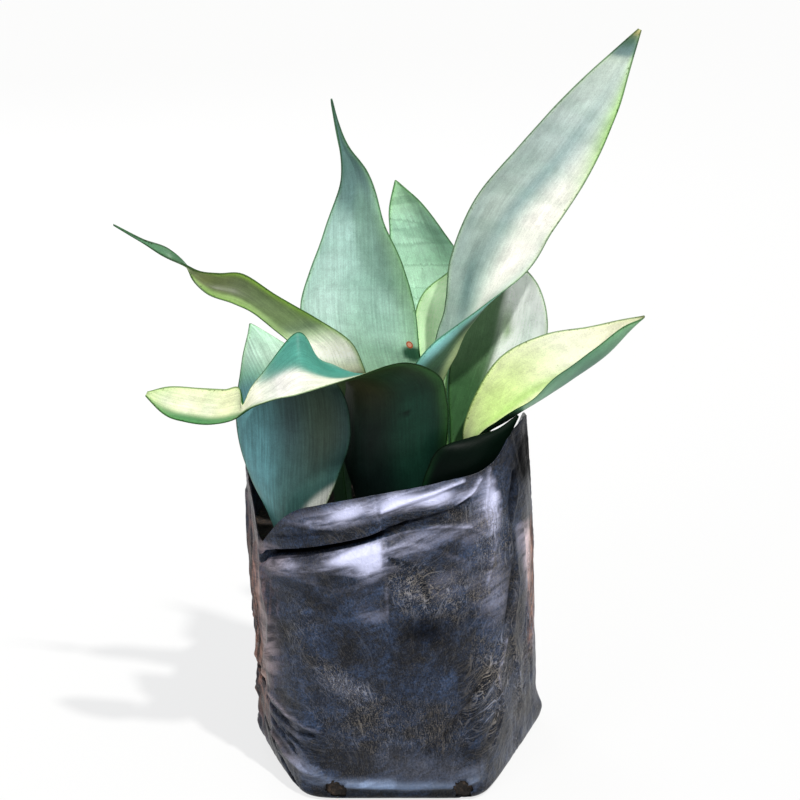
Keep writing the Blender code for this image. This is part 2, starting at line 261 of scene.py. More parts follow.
# %% Floor
FLOOR_HALF = 15.0
FLOOR_DROP = 0.0003
table, _, table_shader = new_finish("opal studio table, lit from inside")
table_shader.inputs["Base Color"].default_value = rgba("#6c6c6c")
table_shader.inputs["Roughness"].default_value = 0.9
table_shader.inputs["Specular IOR Level"].default_value = 0.1
table_shader.inputs["Emission Color"].default_value = (1.0, 1.0, 1.0, 1.0)
table_shader.inputs["Emission Strength"].default_value = 0.77
corners = FLOOR_HALF * np.array([[-1, -1, 0], [1, -1, 0], [1, 1, 0], [-1, 1, 0]])
floor = mesh_piece("floor", corners, [(0, 1, 2, 3)], table, smooth=False)
floor.location.z = -FLOOR_DROP
print("floor", 2 * FLOOR_HALF, "m square")

# %% [markdown]
# ## Leaves: the form
# A snake plant's leaf is a thick channelled blade that twists as it leans out. It could be
# sculpted, but two margins say more with less: each leaf is a list of rows that cross it,
# from the root to the tip. A row gives a point on both margins, left and right, and the depth
# of the channel between them. Smooth curves join the rows, so a row that turns over is a twist.

# %% Leaf rows in millimetres
MM = 0.001
LEAVES = {
    "leaf_a": (
        ((8, -16, 112), (10, 10, 112), 9),
        ((9, -20, 160), (12, 6, 160), 10),
        ((6, -24, 233), (18, 2, 227), 13),
        ((16, -20, 245), (20, 8, 243), 14),
        ((27, -16, 253), (24, 10, 255), 12),
        ((43, -12, 264), (25, 10, 262), 10),
        ((67, 0, 279), (27, 8, 284), 9),
        ((83, 6, 302), (38, 8, 315), 8),
        ((103, 10, 334), (64, 10, 349), 7),
        ((117, 14, 368), (92, 13, 379), 5),
        ((124, 17, 394), (111, 17, 396), 2),
        ((128, 20, 408), (126, 20, 409), 0),
    ),
    "leaf_b": (
        ((46, -2, 112), (30, 14, 112), 5),
        ((53, 4, 191), (28, 8, 189), 6),
        ((70, 8, 217), (27, 12, 212), 8),
        ((82, 12, 241), (31, 16, 237), 9),
        ((80, 14, 260), (39, 20, 258), 7),
        ((74, 18, 272), (51, 22, 272), 4),
        ((65, 22, 281), (63, 22, 281), 0),
    ),
    "leaf_c": (
        ((22, -26, 112), (38, -10, 112), 5),
        ((26, -27, 160), (42, -9, 160), 6),
        ((43, -22, 194), (35, -4, 192), 6),
        ((54, -26, 205), (43, -2, 214), 16),
        ((69, -30, 216.5), (55, 0, 232), 21),
        ((86, -30, 233), (80, 2, 245), 20),
        ((105, -26, 246), (104, 0, 250), 13),
        ((121, -18, 256), (121, -6, 256), 6),
        ((132, -13, 259), (132, -12, 260), 0),
    ),
    "leaf_d": (
        ((16, -57, 112), (42, -50, 112), 4),
        ((14, -60, 189), (40, -54, 175), 4),
        ((21, -58, 201), (52, -48, 189), 4),
        ((37, -50, 204), (59, -40, 199), 3),
        ((52, -42, 206), (61, -35, 204), 2),
        ((63, -32, 210), (64, -32, 209), 0),
    ),
    "leaf_e": (
        ((-18, -32, 112), (10, -38, 112), 6),
        ((-24, -34, 160), (20, -42, 160), 8),
        ((-31, -34, 188), (25, -46, 199), 9),
        ((-31, -36, 213), (25, -52, 225), 9),
        ((-29, -40, 230), (20, -60, 243), 8),
        ((-32, -46, 241), (4, -70, 253), 6),
        ((-42, -54, 250), (-25, -84, 249), 5),
        ((-53, -60, 266), (-50, -94, 244), 4),
        ((-71, -66, 246), (-65, -92, 240), 3),
        ((-77, -71, 239), (-74, -90, 236), 2),
        ((-81, -76, 232), (-80, -86, 231), 1),
        ((-82, -70, 238), (-84, -84, 227), 3),
        ((-91, -66, 237), (-96, -84, 224), 4),
        ((-104, -64, 237), (-111, -80, 224), 3),
        ((-121, -62, 237), (-123, -74, 227), 2),
        ((-131, -64, 235), (-132, -66, 233), 0),
    ),
    "leaf_f": (
        ((-26, 6, 112), (-26, -18, 112), 6),
        ((-27, 8, 165), (-30, -22, 165), 8),
        ((-18, 4, 214), (-38, -24, 210), 9),
        ((-20, 2, 226), (-50, -28, 233), 9),
        ((-27, -2, 242), (-57, -28, 248), 8),
        ((-45, -8, 257), (-67, -28, 257), 6),
        ((-67, -12, 272), (-80, -26, 267), 4),
        ((-84, -14, 284), (-89, -26, 271), 4),
        ((-97, -16, 285), (-103, -24, 276), 3),
        ((-107, -19, 287), (-111, -20, 283), 1),
        ((-115, -24, 292), (-114, -17, 290), 0),
        ((-124, -22, 295), (-122, -19, 299), 0),
        ((-137, -20, 303), (-136, -20, 305), 0),
        ((-151, -20, 312), (-151, -20, 313), 0),
    ),
    "leaf_h": (
        ((-62, -36, 112), (-38, -44, 112), 5),
        ((-72, -41, 157), (-41, -49, 160), 7),
        ((-81, -45, 180), (-33, -49, 181), 9),
        ((-87, -48, 210), (-26, -46, 207), 10),
        ((-86, -46, 230), (-32, -42, 229), 9),
        ((-83, -44, 247), (-50, -40, 246), 6),
        ((-80, -43, 260), (-66, -41, 257), 3),
        ((-79, -42, 265), (-78, -42, 265), 0),
    ),
    "leaf_j": (
        ((16, 14, 112), (-10, 14, 112), 6),
        ((20, 12, 170), (-18, 12, 170), 6),
        ((11, 10, 232), (-52, 8, 235), 8),
        ((8, 12, 258), (-55, 10, 259), 8),
        ((2, 13, 280), (-49, 12, 280), 7),
        ((-8, 14, 303), (-40, 13, 304), 6),
        ((-18, 15, 334), (-32, 14, 330), 4),
        ((-27, 15, 346), (-32, 12, 345), 3),
        ((-33, 14, 361), (-35, 12, 363), 1),
        ((-36, 12, 373), (-37, 12, 373), 0),
    ),
    "leaf_k": (
        ((36, 38, 112), (12, 42, 112), 6),
        ((45, 46, 238), (0, 50, 237), 8),
        ((40, 51, 264), (-5, 55, 263), 8),
        ((26, 55, 287), (-6, 58, 287), 6),
        ((11, 59, 306), (-6, 60, 303), 3),
        ((-2, 62, 317), (-3, 62, 317), 0),
    ),
    "leaf_l": (
        ((34, 22, 112), (14, 24, 112), 4),
        ((28, 19, 227), (10, 22, 229), 4),
        ((31, 17, 243), (8, 22, 248), 5),
        ((34, 17, 262), (14, 22, 264), 4),
        ((39, 20, 275), (27, 22, 275), 2),
        ((36, 22, 283), (35, 22, 283), 0),
    ),
}
print(len(LEAVES), "leaves,", sum(len(rows) for rows in LEAVES.values()), "rows")

# %% [markdown]
# ## Leaves: the surface
# The body of a blade is thickest at its middle and thins to a horny margin. A plane with a
# Solidify modifier would be as thick everywhere, so both skins are worked out. They meet in a
# rounded edge, and the light runs round it as on the real leaf. Fine ridges follow the veins
# and the margins ripple slightly.

# %% Middle of a blade
LEAF_ROWS = 150
LEAF_COLUMNS = 30


def leaf_middle(rows, share):
    """The layer half way through the blade, where share runs from 0 to 1 across it.

    A row is the parabola that joins the two margins and sinks by the channel's depth.
    """
    left = np.array([row[0] for row in rows], float)
    right = np.array([row[1] for row in rows], float)
    depth = np.array([[row[2]] for row in rows], float)
    centre = (left + right) / 2
    knots = np.concatenate([[0], np.cumsum(np.linalg.norm(np.diff(centre, axis=0), axis=1))])
    at = np.linspace(0, knots[-1], LEAF_ROWS + 1)
    curves = smooth_through(knots, np.hstack([left, right, depth]), at)
    left, right, depth = curves[:, :3], curves[:, 3:6], curves[:, 6:]
    ahead = unit(np.gradient((left + right) / 2, at, axis=0))
    back = unit(np.cross(right - left, ahead))
    share = share[None, :, None]
    chord = left[:, None] * (1 - share) + right[:, None] * share
    return chord + back[:, None] * depth[:, None] * 4 * share * (1 - share), at


print("grid of", LEAF_ROWS + 1, "by", LEAF_COLUMNS + 1, "points on each skin")

# %% Skins of a blade
RIB_THICK = 3.2
MARGIN_THICK = 1.1
TIP_SHARE = 0.35
RIPPLE_LENGTH = 14
RIPPLE_HEIGHT = 1.4
VEIN_SPACING = 1.7
VEIN_LENGTH = 60
VEIN_HEIGHT = 0.16


def leaf_surface(rows, seed):
    """Back and front skins of one blade, and what its finish has to know of each point.

    The columns crowd towards the margins. The half thickness is the rib's share of
    (1 - s^2) plus the margin's share of sqrt(1 - s^8), so both skins meet at the margins.
    """
    s = -np.cos(np.linspace(0, math.pi, LEAF_COLUMNS + 1))
    middle, along = leaf_middle(rows, (s + 1) / 2)
    out = unit(np.cross(np.gradient(middle, axis=1), np.gradient(middle, axis=0)))
    width = np.linalg.norm(np.diff(middle, axis=1), axis=2)
    width = np.concatenate([np.zeros((len(middle), 1)), np.cumsum(width, axis=1)], axis=1)
    across = width - width[:, -1:] / 2
    edge = np.minimum(width, width[:, -1:] - width)
    taper = np.linspace(1, TIP_SHARE, LEAF_ROWS + 1)[:, None]
    body = (RIB_THICK * taper - MARGIN_THICK).clip(0.1)
    thick = MARGIN_THICK * np.sqrt(1 - s**8) + body * (1 - s**2)
    ripple = ruled_noise(along[:, None] / RIPPLE_LENGTH + 3, 1.5 + s, seed) - 0.5
    ripple = ripple * np.abs(s) ** 3 * np.clip(width[:, -1:] / 30, 0, 1) * RIPPLE_HEIGHT
    veins = ruled_noise(across / VEIN_SPACING + 60, along[:, None] / VEIN_LENGTH, seed + 1) - 0.5
    half = thick / 2 + VEIN_HEIGHT * veins * (1 - s**6)
    skins = [middle + out * (ripple + side * half)[..., None] for side in (1, -1)]
    place = np.stack([across, along[:, None] + 0 * across, edge], axis=-1)
    return skins, place, s, along / along[-1]


def blade_loop(back, front):
    """Each row as one closed loop: over the back skin, then home over the front skin.

    The two skins share their margins, so the front's first and last columns are left out.
    """
    return np.concatenate([back, front[:, -2:0:-1]], axis=1)


def blade_faces(rows, columns):
    """Squares round the loops of a blade, and one face over each of its two ends."""
    ring = np.arange(columns)
    ends = [ring[::-1].tolist(), (ring + (rows - 1) * columns).tolist()]
    return grid_quads(rows, columns, wrap=True).tolist() + ends


print("blades from", MARGIN_THICK, "mm thick at the margin to", RIB_THICK, "mm at the root")

# %% [markdown]
# ## Leaves: the colour of the living skin
# Each leaf has its own greens: silver where the wax is thick, yellow-green where it is young
# and thin, deep green on the shaded backs. Many stops and patches are painted light and shade
# too: pale zones of painted sunlight, painted shadows cast by other leaves, and blades painted
# near black where they lie in shade. One green for all would look like plastic. A leaf's base
# colour runs from the root (0) to the tip (1). Soft patches lie on it, placed by the share of
# the length and by the place across, from one margin (-1) to the other (1). A patch may lean,
# and a hard one has a crisp border.

# %% Leaf colours
# A patch: side, middle along and across, reach along and across, lean, hardness, colour, amount
# Veins: how strongly they darken and lighten. Bands and threads: how dark they are.
# Wax: the shine, 0.3 where a look has none. Painted glow: the leaf's own colour given off as
# light, painted light in place of the sun that shines through a thin blade.
# Spot: the middle of a round healed wound, in mm across and along.
LEAF_LOOKS = {
    "leaf_a": {
        "upper": (
            (0.0, "#4f6f55"), (0.40, "#8ea69b"), (0.52, "#b0c3b7"), (0.66, "#b4c3ba"),
            (0.8, "#b6c6c2"), (0.93, "#c6d5ca"), (1.0, "#a3b794"),
        ),
        # The lower skin's dark green near the root is partly its own colour and partly painted shade.
        "lower": (
            (0.0, "#16301f"), (0.36, "#2a4430"), (0.46, "#3a5640"), (0.6, "#7d9a80"),
            (1.0, "#88a58a"),
        ),
        "patches": (
            # Painted sunlight: the cream band. Painted shadow: the diagonal grey-teal streak beside it.
            ("upper", 0.62, -0.62, 0.19, 0.42, -1.6, 1.4, "#f4f0e6", 0.95),
            ("upper", 0.70, -0.02, 0.16, 0.20, -1.6, 1.0, "#84a0a0", 0.75),
            ("upper", 0.52, 0.45, 0.08, 0.26, 0.0, 1.0, "#557573", 0.85),
            ("upper", 0.60, 0.85, 0.10, 0.2, 0.0, 1.0, "#8fa8a6", 0.5),
            ("upper", 0.74, 0.55, 0.05, 0.4, 0.0, 1.0, "#96ada6", 0.5),
            ("upper", 0.84, -1.05, 0.11, 0.34, 0.0, 1.2, "#a5cf78", 0.8),
            ("upper", 0.965, 0.1, 0.018, 2.0, 0.0, 3.0, "#5c7c80", 0.85),
            # Painted light: the pale strip along the rolled-out margin and the sunlit part of the lower
            # skin.
            ("lower", 0.45, -1.0, 0.09, 0.24, 0.0, 2.0, "#8fd0d2", 0.95),
            ("lower", 0.41, -0.15, 0.07, 0.30, -2.0, 2.0, "#9fb184", 0.9),
            ("upper", 0.982, 0.2, 0.016, 1.0, 0.0, 2.0, "#3f5f4a", 0.85),
            ("upper", 1.0, 0.0, 0.012, 3.0, 0.0, 3.0, "#a8a070", 0.95),
            ("lower", 1.0, 0.0, 0.012, 3.0, 0.0, 3.0, "#a8a070", 0.95),
        ),
        "veins": 0.10,
        "bands": 0.18,
    },
    "leaf_b": {
        # The near-white stops from 0.68 on are painted sunlight on the blade's right part.
        "upper": (
            (0.0, "#1c3522"), (0.5, "#a9c3a0"), (0.60, "#cfdfc6"), (0.68, "#f4faf2"),
            (1.0, "#f2f7f4"),
        ),
        "lower": ((0.0, "#2c4a30"), (1.0, "#8aa088")),
        "patches": (
            # Painted shadow: leaf A's crisp shadow over the left part of the blade.
            ("upper", 0.62, 0.77, 0.60, 0.75, 0.0, 9.0, "#44693f", 0.97),
            ("upper", 0.52, 0.77, 0.14, 0.75, 0.0, 3.0, "#355a36", 0.85),
            ("upper", 0.72, -0.55, 0.10, 0.16, 0.0, 1.0, "#d5e4da", 0.8),
            ("upper", 0.79, -0.05, 0.06, 0.09, 0.0, 1.0, "#6d9a4c", 0.8),
            ("upper", 0.76, -0.14, 0.02, 0.08, 0.0, 1.0, "#6f9a4c", 0.6),
        ),
        "veins": 0.10,
        "bands": 0.06,
        "painted_glow": 0.16,
    },
    "leaf_c": {
        "upper": (
            (0.0, "#7fae4c"), (0.40, "#d5d9ac"), (0.50, "#dde6ae"), (0.62, "#f1f1ce"),
            (0.75, "#faf9e6"), (0.9, "#f0eed2"), (0.98, "#e4e2c4"), (1.0, "#8f8c66"),
        ),
        "lower": (
            (0.0, "#1f5a3c"), (0.45, "#3a7a50"), (0.62, "#4f8666"), (0.8, "#437660"),
            (1.0, "#7fae84"),
        ),
        "patches": (
            ("upper", 0.56, 0.55, 0.09, 0.42, 0.0, 1.0, "#cfe69a", 0.6),
            ("upper", 0.66, 0.75, 0.09, 0.25, 0.0, 1.0, "#cfe8a0", 0.35),
            ("upper", 0.60, 0.08, 0.26, 0.24, 0.0, 1.2, "#9cc46a", 0.75),
            ("upper", 0.46, 0.40, 0.10, 0.60, 0.0, 1.0, "#b2da72", 0.5),
            ("lower", 0.62, -0.85, 0.30, 0.20, 0.0, 1.0, "#8fc79c", 0.45),
        ),
        "veins": 0.05,
        "bands": 0.05,
    },
    "leaf_d": {
        # Painted shade: both skins are near black where the blade lies in the shade of leaf C, and the
        # wax is low to keep them dark.
        "upper": ((0.0, "#06120b"), (1.0, "#0d2415")),
        "lower": ((0.0, "#020705"), (0.6, "#030a07"), (1.0, "#07150d")),
        "patches": (("lower", 0.30, -0.95, 0.30, 0.16, 0.0, 1.4, "#12351d", 0.9),),
        "veins": 0.10,
        "bands": 0.05,
        "wax": 0.06,
    },
    "leaf_e": {
        # The pale cream of the flap from 0.57 to 0.8 is painted sunlight.
        "upper": (
            (0.0, "#2c5a42"), (0.50, "#8fbfa0"), (0.57, "#d3d6bd"), (0.72, "#e6e4de"),
            (0.8, "#d8dabc"), (0.84, "#d8dcb2"), (0.92, "#d5dab6"), (1.0, "#b8cb96"),
        ),
        # The lower skin is the blade's own dark green, painted darker still as shade under the flap;
        # the wax is low to keep it dark.
        "lower": (
            (0.0, "#0b1613"), (0.25, "#0d1a17"), (0.36, "#101f19"), (0.45, "#1a2616"),
            (0.52, "#24331a"), (0.60, "#2a3a1c"), (1.0, "#2c7a48"),
        ),
        "patches": (
            # Painted shadow: the teal with a crisp edge over the upper part of the flap.
            ("upper", 0.630, -0.42, 0.125, 0.72, -4.0, 5.0, "#3f8a7c", 0.97),
            ("upper", 0.56, -0.80, 0.06, 0.9, 0.0, 2.0, "#3f8a7c", 0.9),
            ("upper", 0.88, 0.05, 0.015, 0.45, 0.0, 1.0, "#dcdcc8", 0.7),
            ("upper", 0.92, 0.00, 0.015, 0.45, 0.0, 1.0, "#dcdcc8", 0.6),
            ("upper", 0.96, 0.00, 0.015, 0.45, 0.0, 1.0, "#dcdcc8", 0.6),
            # Painted shade: the green along the lower rim of the tip.
            ("upper", 0.885, 0.88, 0.12, 0.50, 0.0, 2.0, "#3a7c48", 0.95),
            # Painted shade: the dark patches and the thin near-black line on the lower skin.
            ("lower", 0.34, 0.45, 0.17, 0.45, 0.0, 1.4, "#15382b", 0.9),
            ("lower", 0.42, 0.98, 0.17, 0.14, 0.0, 1.4, "#2a4d28", 0.9),
            ("lower", 0.47, -0.55, 0.05, 0.5, 0.0, 1.2, "#33321d", 0.7),
            ("lower", 0.3905, 0.29, 0.0045, 0.10, 0.0, 2.0, "#040a07", 0.95),
        ),
        "veins": 0.16,
        "bands": 0.25,
        "wax": 0.14,
    },
    "leaf_f": {
        # Painted light and shade along the blade: near black at the root, in shade, a near-white band
        # of painted sunlight from 0.45 to 0.52, and olive painted shade from 0.575 to 0.79.
        "upper": (
            (0.0, "#0f1f14"), (0.32, "#16241a"), (0.42, "#2d3a22"), (0.45, "#d3d8bc"),
            (0.475, "#fcfcf2"), (0.52, "#f4f6e4"), (0.555, "#a3b893"), (0.575, "#5f7456"),
            (0.605, "#64774e"), (0.66, "#566843"), (0.72, "#4e5a3b"), (0.79, "#596139"),
            (0.84, "#7a8a60"), (0.9, "#93b48e"), (1.0, "#a9c8b0"),
        ),
        "lower": ((0.0, "#14241a"), (0.5, "#3f5f40"), (0.8, "#3f5f40"), (1.0, "#5f8a70")),
        "patches": (
            # Painted light: the green band along the top margin (-1), where the sun shines through the
            # edge.
            ("upper", 0.50, -1.0, 0.08, 0.10, 0.0, 1.5, "#7a9a5c", 0.6),
            ("upper", 0.68, -1.0, 0.13, 0.22, 0.0, 1.4, "#6f8f34", 0.8),
            ("upper", 0.62, 0.80, 0.12, 0.35, 0.0, 1.4, "#8fa873", 0.8),
            ("upper", 0.74, 0.80, 0.12, 0.35, 0.0, 1.4, "#86a55f", 0.7),
        ),
        "veins": 0.16,
        "bands": 0.25,
        "painted_glow": 0.10,
    },
    "leaf_h": {
        "upper": ((0.0, "#3c6a54"), (1.0, "#8fc79a")),
        # Painted shade: the lower skin is teal-grey up to 0.74, in the shadow of leaf E's flap; the
        # pale tip from 0.80 is painted sunlight.
        "lower": (
            (0.0, "#4f7268"), (0.36, "#426a65"), (0.5, "#406563"), (0.62, "#3f5f60"),
            (0.74, "#3a5450"), (0.80, "#7fae8c"), (0.88, "#b9d8c2"), (1.0, "#a5d0b4"),
        ),
        "patches": (
            # Painted shade: the teal and dark patches on the shaded face.
            ("lower", 0.56, -0.70, 0.24, 0.42, 0.0, 1.4, "#5f959c", 0.9),
            ("lower", 0.64, 0.50, 0.20, 0.42, 0.0, 1.2, "#3c4c3a", 0.85),
            ("lower", 0.66, -0.05, 0.12, 0.14, 0.0, 1.0, "#314244", 0.6),
            # Painted sunlight: the small cream patch near the root, where the sun gets past the flap.
            ("lower", 0.33, 0.78, 0.08, 0.45, 3.0, 3.0, "#f2f6ec", 0.97),
        ),
        "veins": 0.28,
        "bands": 0.05,
    },
    "leaf_j": {
        "upper": (
            (0.0, "#6c9a74"), (0.38, "#a9d6b0"), (0.5, "#b6dfca"), (0.62, "#b2d8cc"),
            (0.78, "#a3c7bf"), (1.0, "#7fae94"),
        ),
        "lower": ((0.0, "#4f7a5c"), (1.0, "#6c9c86")),
        "patches": (
            # Painted light and shade: the pale left half is painted sunlight; painted shadows cover the
            # tip (0.94) and the right half (0.68); the band at 0.60 is the channel's painted shade; the
            # small dark mark at 0.462 is leaf A's painted shadow.
            ("upper", 0.54, 0.62, 0.14, 0.42, 0.0, 1.2, "#cdebe2", 0.8),
            ("upper", 0.94, 0.10, 0.19, 1.6, 0.0, 6.0, "#567775", 0.9),
            ("upper", 0.68, -0.62, 0.13, 0.62, 3.0, 3.5, "#76998a", 0.9),
            ("upper", 0.60, -0.25, 0.12, 0.30, 0.0, 1.0, "#97bfae", 0.6),
            ("upper", 0.62, -1.0, 0.28, 0.30, 0.0, 1.2, "#a3d2a0", 0.6),
            ("upper", 0.462, -0.88, 0.018, 0.20, 0.0, 5.0, "#1f5238", 0.95),
        ),
        "veins": 0.15,
        "bands": 0.20,
        "threads": 0.10,
        "spot": (-27.5, 128.5),
    },
    "leaf_k": {
        "upper": (
            (0.0, "#5f8a64"), (0.5, "#b6e3c6"), (0.74, "#c2edd0"), (0.86, "#b4dfc6"),
            (1.0, "#b4dfb4"),
        ),
        "lower": ((0.0, "#4f7a5c"), (1.0, "#7fae8c")),
        "patches": (
            ("upper", 0.80, 0.1, 0.12, 0.16, 0.0, 1.0, "#c6f0d6", 0.7),
            ("upper", 0.62, -0.6, 0.10, 0.4, 0.0, 1.0, "#d3f6e0", 0.6),
        ),
        "veins": 0.10,
        "bands": 0.34,
        "threads": 0.36,
    },
    "leaf_l": {
        # Painted light: the blade lies in leaf A's shadow, so its greens are as pale as they go and it
        # has a painted glow.
        "upper": ((0.0, "#9ccc8c"), (0.5, "#cdf2bf"), (1.0, "#d6f5c8")),
        "lower": ((0.0, "#4f7a4c"), (1.0, "#7fae78")),
        "patches": (),
        "veins": 0.08,
        "bands": 0.10,
        "threads": 0.1,
        "painted_glow": 0.25,
    },
}
patch_count = sum(len(look["patches"]) for look in LEAF_LOOKS.values())
print(len(LEAF_LOOKS), "leaf looks with", patch_count, "patches")

# %% Leaf tints
def colour_run(stops, share):
    """Colour along the leaf: straight steps in linear light between the named stops."""
    places = [stop[0] for stop in stops]
    codes = np.array([linear(stop[1]) for stop in stops])
    return np.stack([np.interp(share, places, codes[:, k]) for k in range(3)], axis=-1)


def leaf_tint(look, side, share, s):
    """A colour for each point of one skin, with its soft patches mixed in.

    A patch fades as exp(-r^(2h)), where r is the distance from its middle in reaches and h is
    its hardness. Its middle shifts across by lean for each unit along.
    """
    tint = colour_run(look[side], share)[:, None] + 0 * s[None, :, None]
    for where, t0, s0, reach_t, reach_s, lean, hard, code, amount in look["patches"]:
        if where != side:
            continue
        off_t = share[:, None] - t0
        off_s = s[None] - s0 - lean * off_t
        fade = np.exp(-(((off_t / reach_t) ** 2 + (off_s / reach_s) ** 2) ** hard))
        fade = (fade * amount)[..., None]
        tint = tint * (1 - fade) + linear(code) * fade
    return tint


half_way = colour_run(LEAF_LOOKS["leaf_a"]["upper"], np.array([0.5]))[0]
print("leaf_a half way up, in linear light:", np.round(half_way, 2))

# %% [markdown]
# ## Leaves: the finish
# A living leaf is not painted: its colour lies under a waxy skin, which gives a soft satin
# shine. Fine veins run lengthwise, faint dark bands and thin jagged threads cross them, a thin
# dark line of horny tissue follows the margin, and small brown nicks lie near it. A flat
# picture would stretch on a twisted blade. The patterns read each point's place on its own
# leaf in millimetres instead, so they follow every twist.

# %% Leaf patterns and marks
def leaf_patterns(tree, place):
    """Smooth noise of four kinds: veins 1.5 mm apart, grain, blotches and the specks of nicks."""
    lengthwise = add_node(tree, "Mapping", {"Vector": place}, {"Scale": (0.95, 0.030, 0.0)})
    patterns = []
    for source, scale, detail, rough in (
        (lengthwise.outputs[0], 1.0, 4.0, 0.62),
        (place, 1.4, 2.0, 0.5),
        (place, 0.11, 7.0, 0.68),
        (place, 0.75, 2.0, 0.6),
    ):
        values = {"Scale": scale, "Detail": detail, "Roughness": rough}
        patterns.append(add_node(tree, "TexNoise", {"Vector": source}, values).outputs["Fac"])
    return patterns


def leaf_rungs(tree, place, veins):
    """Noise in bars about 12 mm apart across the leaf, jagged by a third of the vein noise."""
    jag = add_node(tree, "Math", {0: veins}, {1: 0.32}, operation="MULTIPLY").outputs[0]
    shift = add_node(tree, "CombineXYZ", {"Y": jag}).outputs[0]
    crosswise = add_node(tree, "Mapping", {"Vector": place}, {"Scale": (0.008, 0.075, 0.0)})
    links = {0: crosswise.outputs[0], 1: shift}
    ladder = add_node(tree, "VectorMath", links, operation="ADD").outputs[0]
    rungs = add_node(tree, "TexNoise", {"Vector": ladder}, {"Scale": 1.0, "Detail": 1.0})
    return rungs.outputs["Fac"]


def leaf_marks(tree, look, place, patterns):
    """What darkens or greens the skin: pattern, its range, the share at each end, and the shade.

    Bands lie where the rungs are high and threads where they pass one half. The pale border,
    the horny line and the nicks go by the distance from the margin, which wanders with the
    blotches. A nick shows where the specks pass a limit that rises away from the margin.
    """
    veins, _, blotch, speck = patterns
    rungs = leaf_rungs(tree, place, veins)
    thread = add_node(tree, "Math", {0: rungs}, {1: 0.5}, operation="SUBTRACT").outputs[0]
    thread = add_node(tree, "Math", {0: thread}, operation="ABSOLUTE").outputs[0]
    inset = add_node(tree, "SeparateXYZ", {"Vector": place}).outputs["Z"]
    wander = add_node(tree, "Math", {0: blotch}, {1: 1.2}, operation="MULTIPLY").outputs[0]
    inset = add_node(tree, "Math", {0: inset, 1: wander}, operation="SUBTRACT").outputs[0]
    values = {"From Min": 0.3, "From Max": 2.6, "To Min": 0.61, "To Max": 0.74}
    limit = add_node(tree, "MapRange", {"Value": inset}, values).outputs[0]
    nick = add_node(tree, "Math", {0: speck, 1: limit}, operation="SUBTRACT").outputs[0]
    return (
        (rungs, "SMOOTHSTEP", 0.46, 0.64, 0.0, look["bands"], (0.55, 0.72, 0.62)),
        (thread, "SMOOTHSTEP", 0.003, 0.03, look.get("threads", 0.0), 0.0, (0.30, 0.42, 0.34)),
        (inset, "SMOOTHSTEP", 0.2, 2.4, 0.30, 0.0, (1.05, 1.25, 0.75)),
        (inset, "SMOOTHSTEP", -0.15, 0.5, 0.9, 0.0, (0.20, 0.30, 0.18)),
        (nick, "LINEAR", 0.0, 0.03, 0.0, 0.75, (0.22, 0.24, 0.14)),
    )


print("bands, threads, borders and nicks ready")

# %% Living leaf finish
def leaf_spot(tree, skin, place, spot):
    """A round healed wound: a red-brown rim 2.1 mm in radius round a paler middle of 1.4 mm."""
    flat = add_node(tree, "VectorMath", {0: place}, {1: (1.0, 1.0, 0.0)}, operation="MULTIPLY")
    links, values = {0: flat.outputs[0]}, {1: (*spot, 0.0)}
    far = add_node(tree, "VectorMath", links, values, operation="DISTANCE").outputs["Value"]
    for reach, code in ((2.1, "#c4552b"), (1.4, "#e9a58a")):
        values = {"From Min": reach - 0.3, "From Max": reach, "To Min": 1.0, "To Max": 0.0}
        disc = add_node(tree, "MapRange", {"Value": far}, values).outputs[0]
        links = {0: disc, 6: skin}
        skin = add_node(tree, "Mix", links, {7: rgba(code)}, data_type="RGBA").outputs[2]
    return skin


def leaf_finish(name, look):
    """Grown snake plant skin: satin wax over green tissue, whose veins raise it very slightly."""
    made, tree, shader = new_finish(name)
    skin = add_node(tree, "Attribute", attribute_name="tint").outputs["Color"]
    place = add_node(tree, "Attribute", attribute_name="leaf_mm").outputs["Vector"]
    patterns = leaf_patterns(tree, place)
    veins, grain, blotch, _ = patterns
    for pattern, low, high, dim, bright in (
        (veins, 0.3, 0.7, 1 - look["veins"], 1 + look["veins"]),
        (grain, 0.3, 0.7, 0.88, 1.10),
        (blotch, 0.32, 0.68, 0.83, 1.16),
    ):
        values = {"From Min": low, "From Max": high, "To Min": dim, "To Max": bright}
        tone = add_node(tree, "MapRange", {"Value": pattern}, values).outputs[0]
        links = {0: skin, "Scale": tone}
        skin = add_node(tree, "VectorMath", links, operation="SCALE").outputs[0]
    for pattern, blend, low, high, first, last, shade in leaf_marks(tree, look, place, patterns):
        values = {"From Min": low, "From Max": high, "To Min": first, "To Max": last}
        links = {"Value": pattern}
        share = add_node(tree, "MapRange", links, values, interpolation_type=blend).outputs[0]
        shaded = add_node(tree, "VectorMath", {0: skin}, {1: shade}, operation="MULTIPLY")
        links = {0: share, 6: skin, 7: shaded.outputs[0]}
        skin = add_node(tree, "Mix", links, data_type="RGBA").outputs[2]
    if "spot" in look:
        skin = leaf_spot(tree, skin, place, look["spot"])
    tree.links.new(skin, shader.inputs["Base Color"])
    satin = add_node(tree, "MapRange", {"Value": blotch}, {"To Min": 0.36, "To Max": 0.52})
    tree.links.new(satin.outputs[0], shader.inputs["Roughness"])
    relief = add_node(tree, "Bump", {"Height": veins}, {"Strength": 0.3, "Distance": 0.0004})
    tree.links.new(relief.outputs[0], shader.inputs["Normal"])
    shader.inputs["IOR"].default_value = 1.42
    shader.inputs["Specular IOR Level"].default_value = look.get("wax", 0.3)
    # Painted light: the blade glows with its own colour, in place of the sun shining through it.
    if "painted_glow" in look:
        tree.links.new(skin, shader.inputs["Emission Color"])
        shader.inputs["Emission Strength"].default_value = look["painted_glow"]
    return made


print("waxy leaf finish ready")

# %% [markdown]
# ## Leaves: the ten blades
# Each blade grows from its own root in the soil, so it is a piece of its own. Its two skins
# could be two sheets, but then light would leak in at the margins. Here every row is one loop
# round both skins, and the rows are joined like the rings of a tube with closed ends.

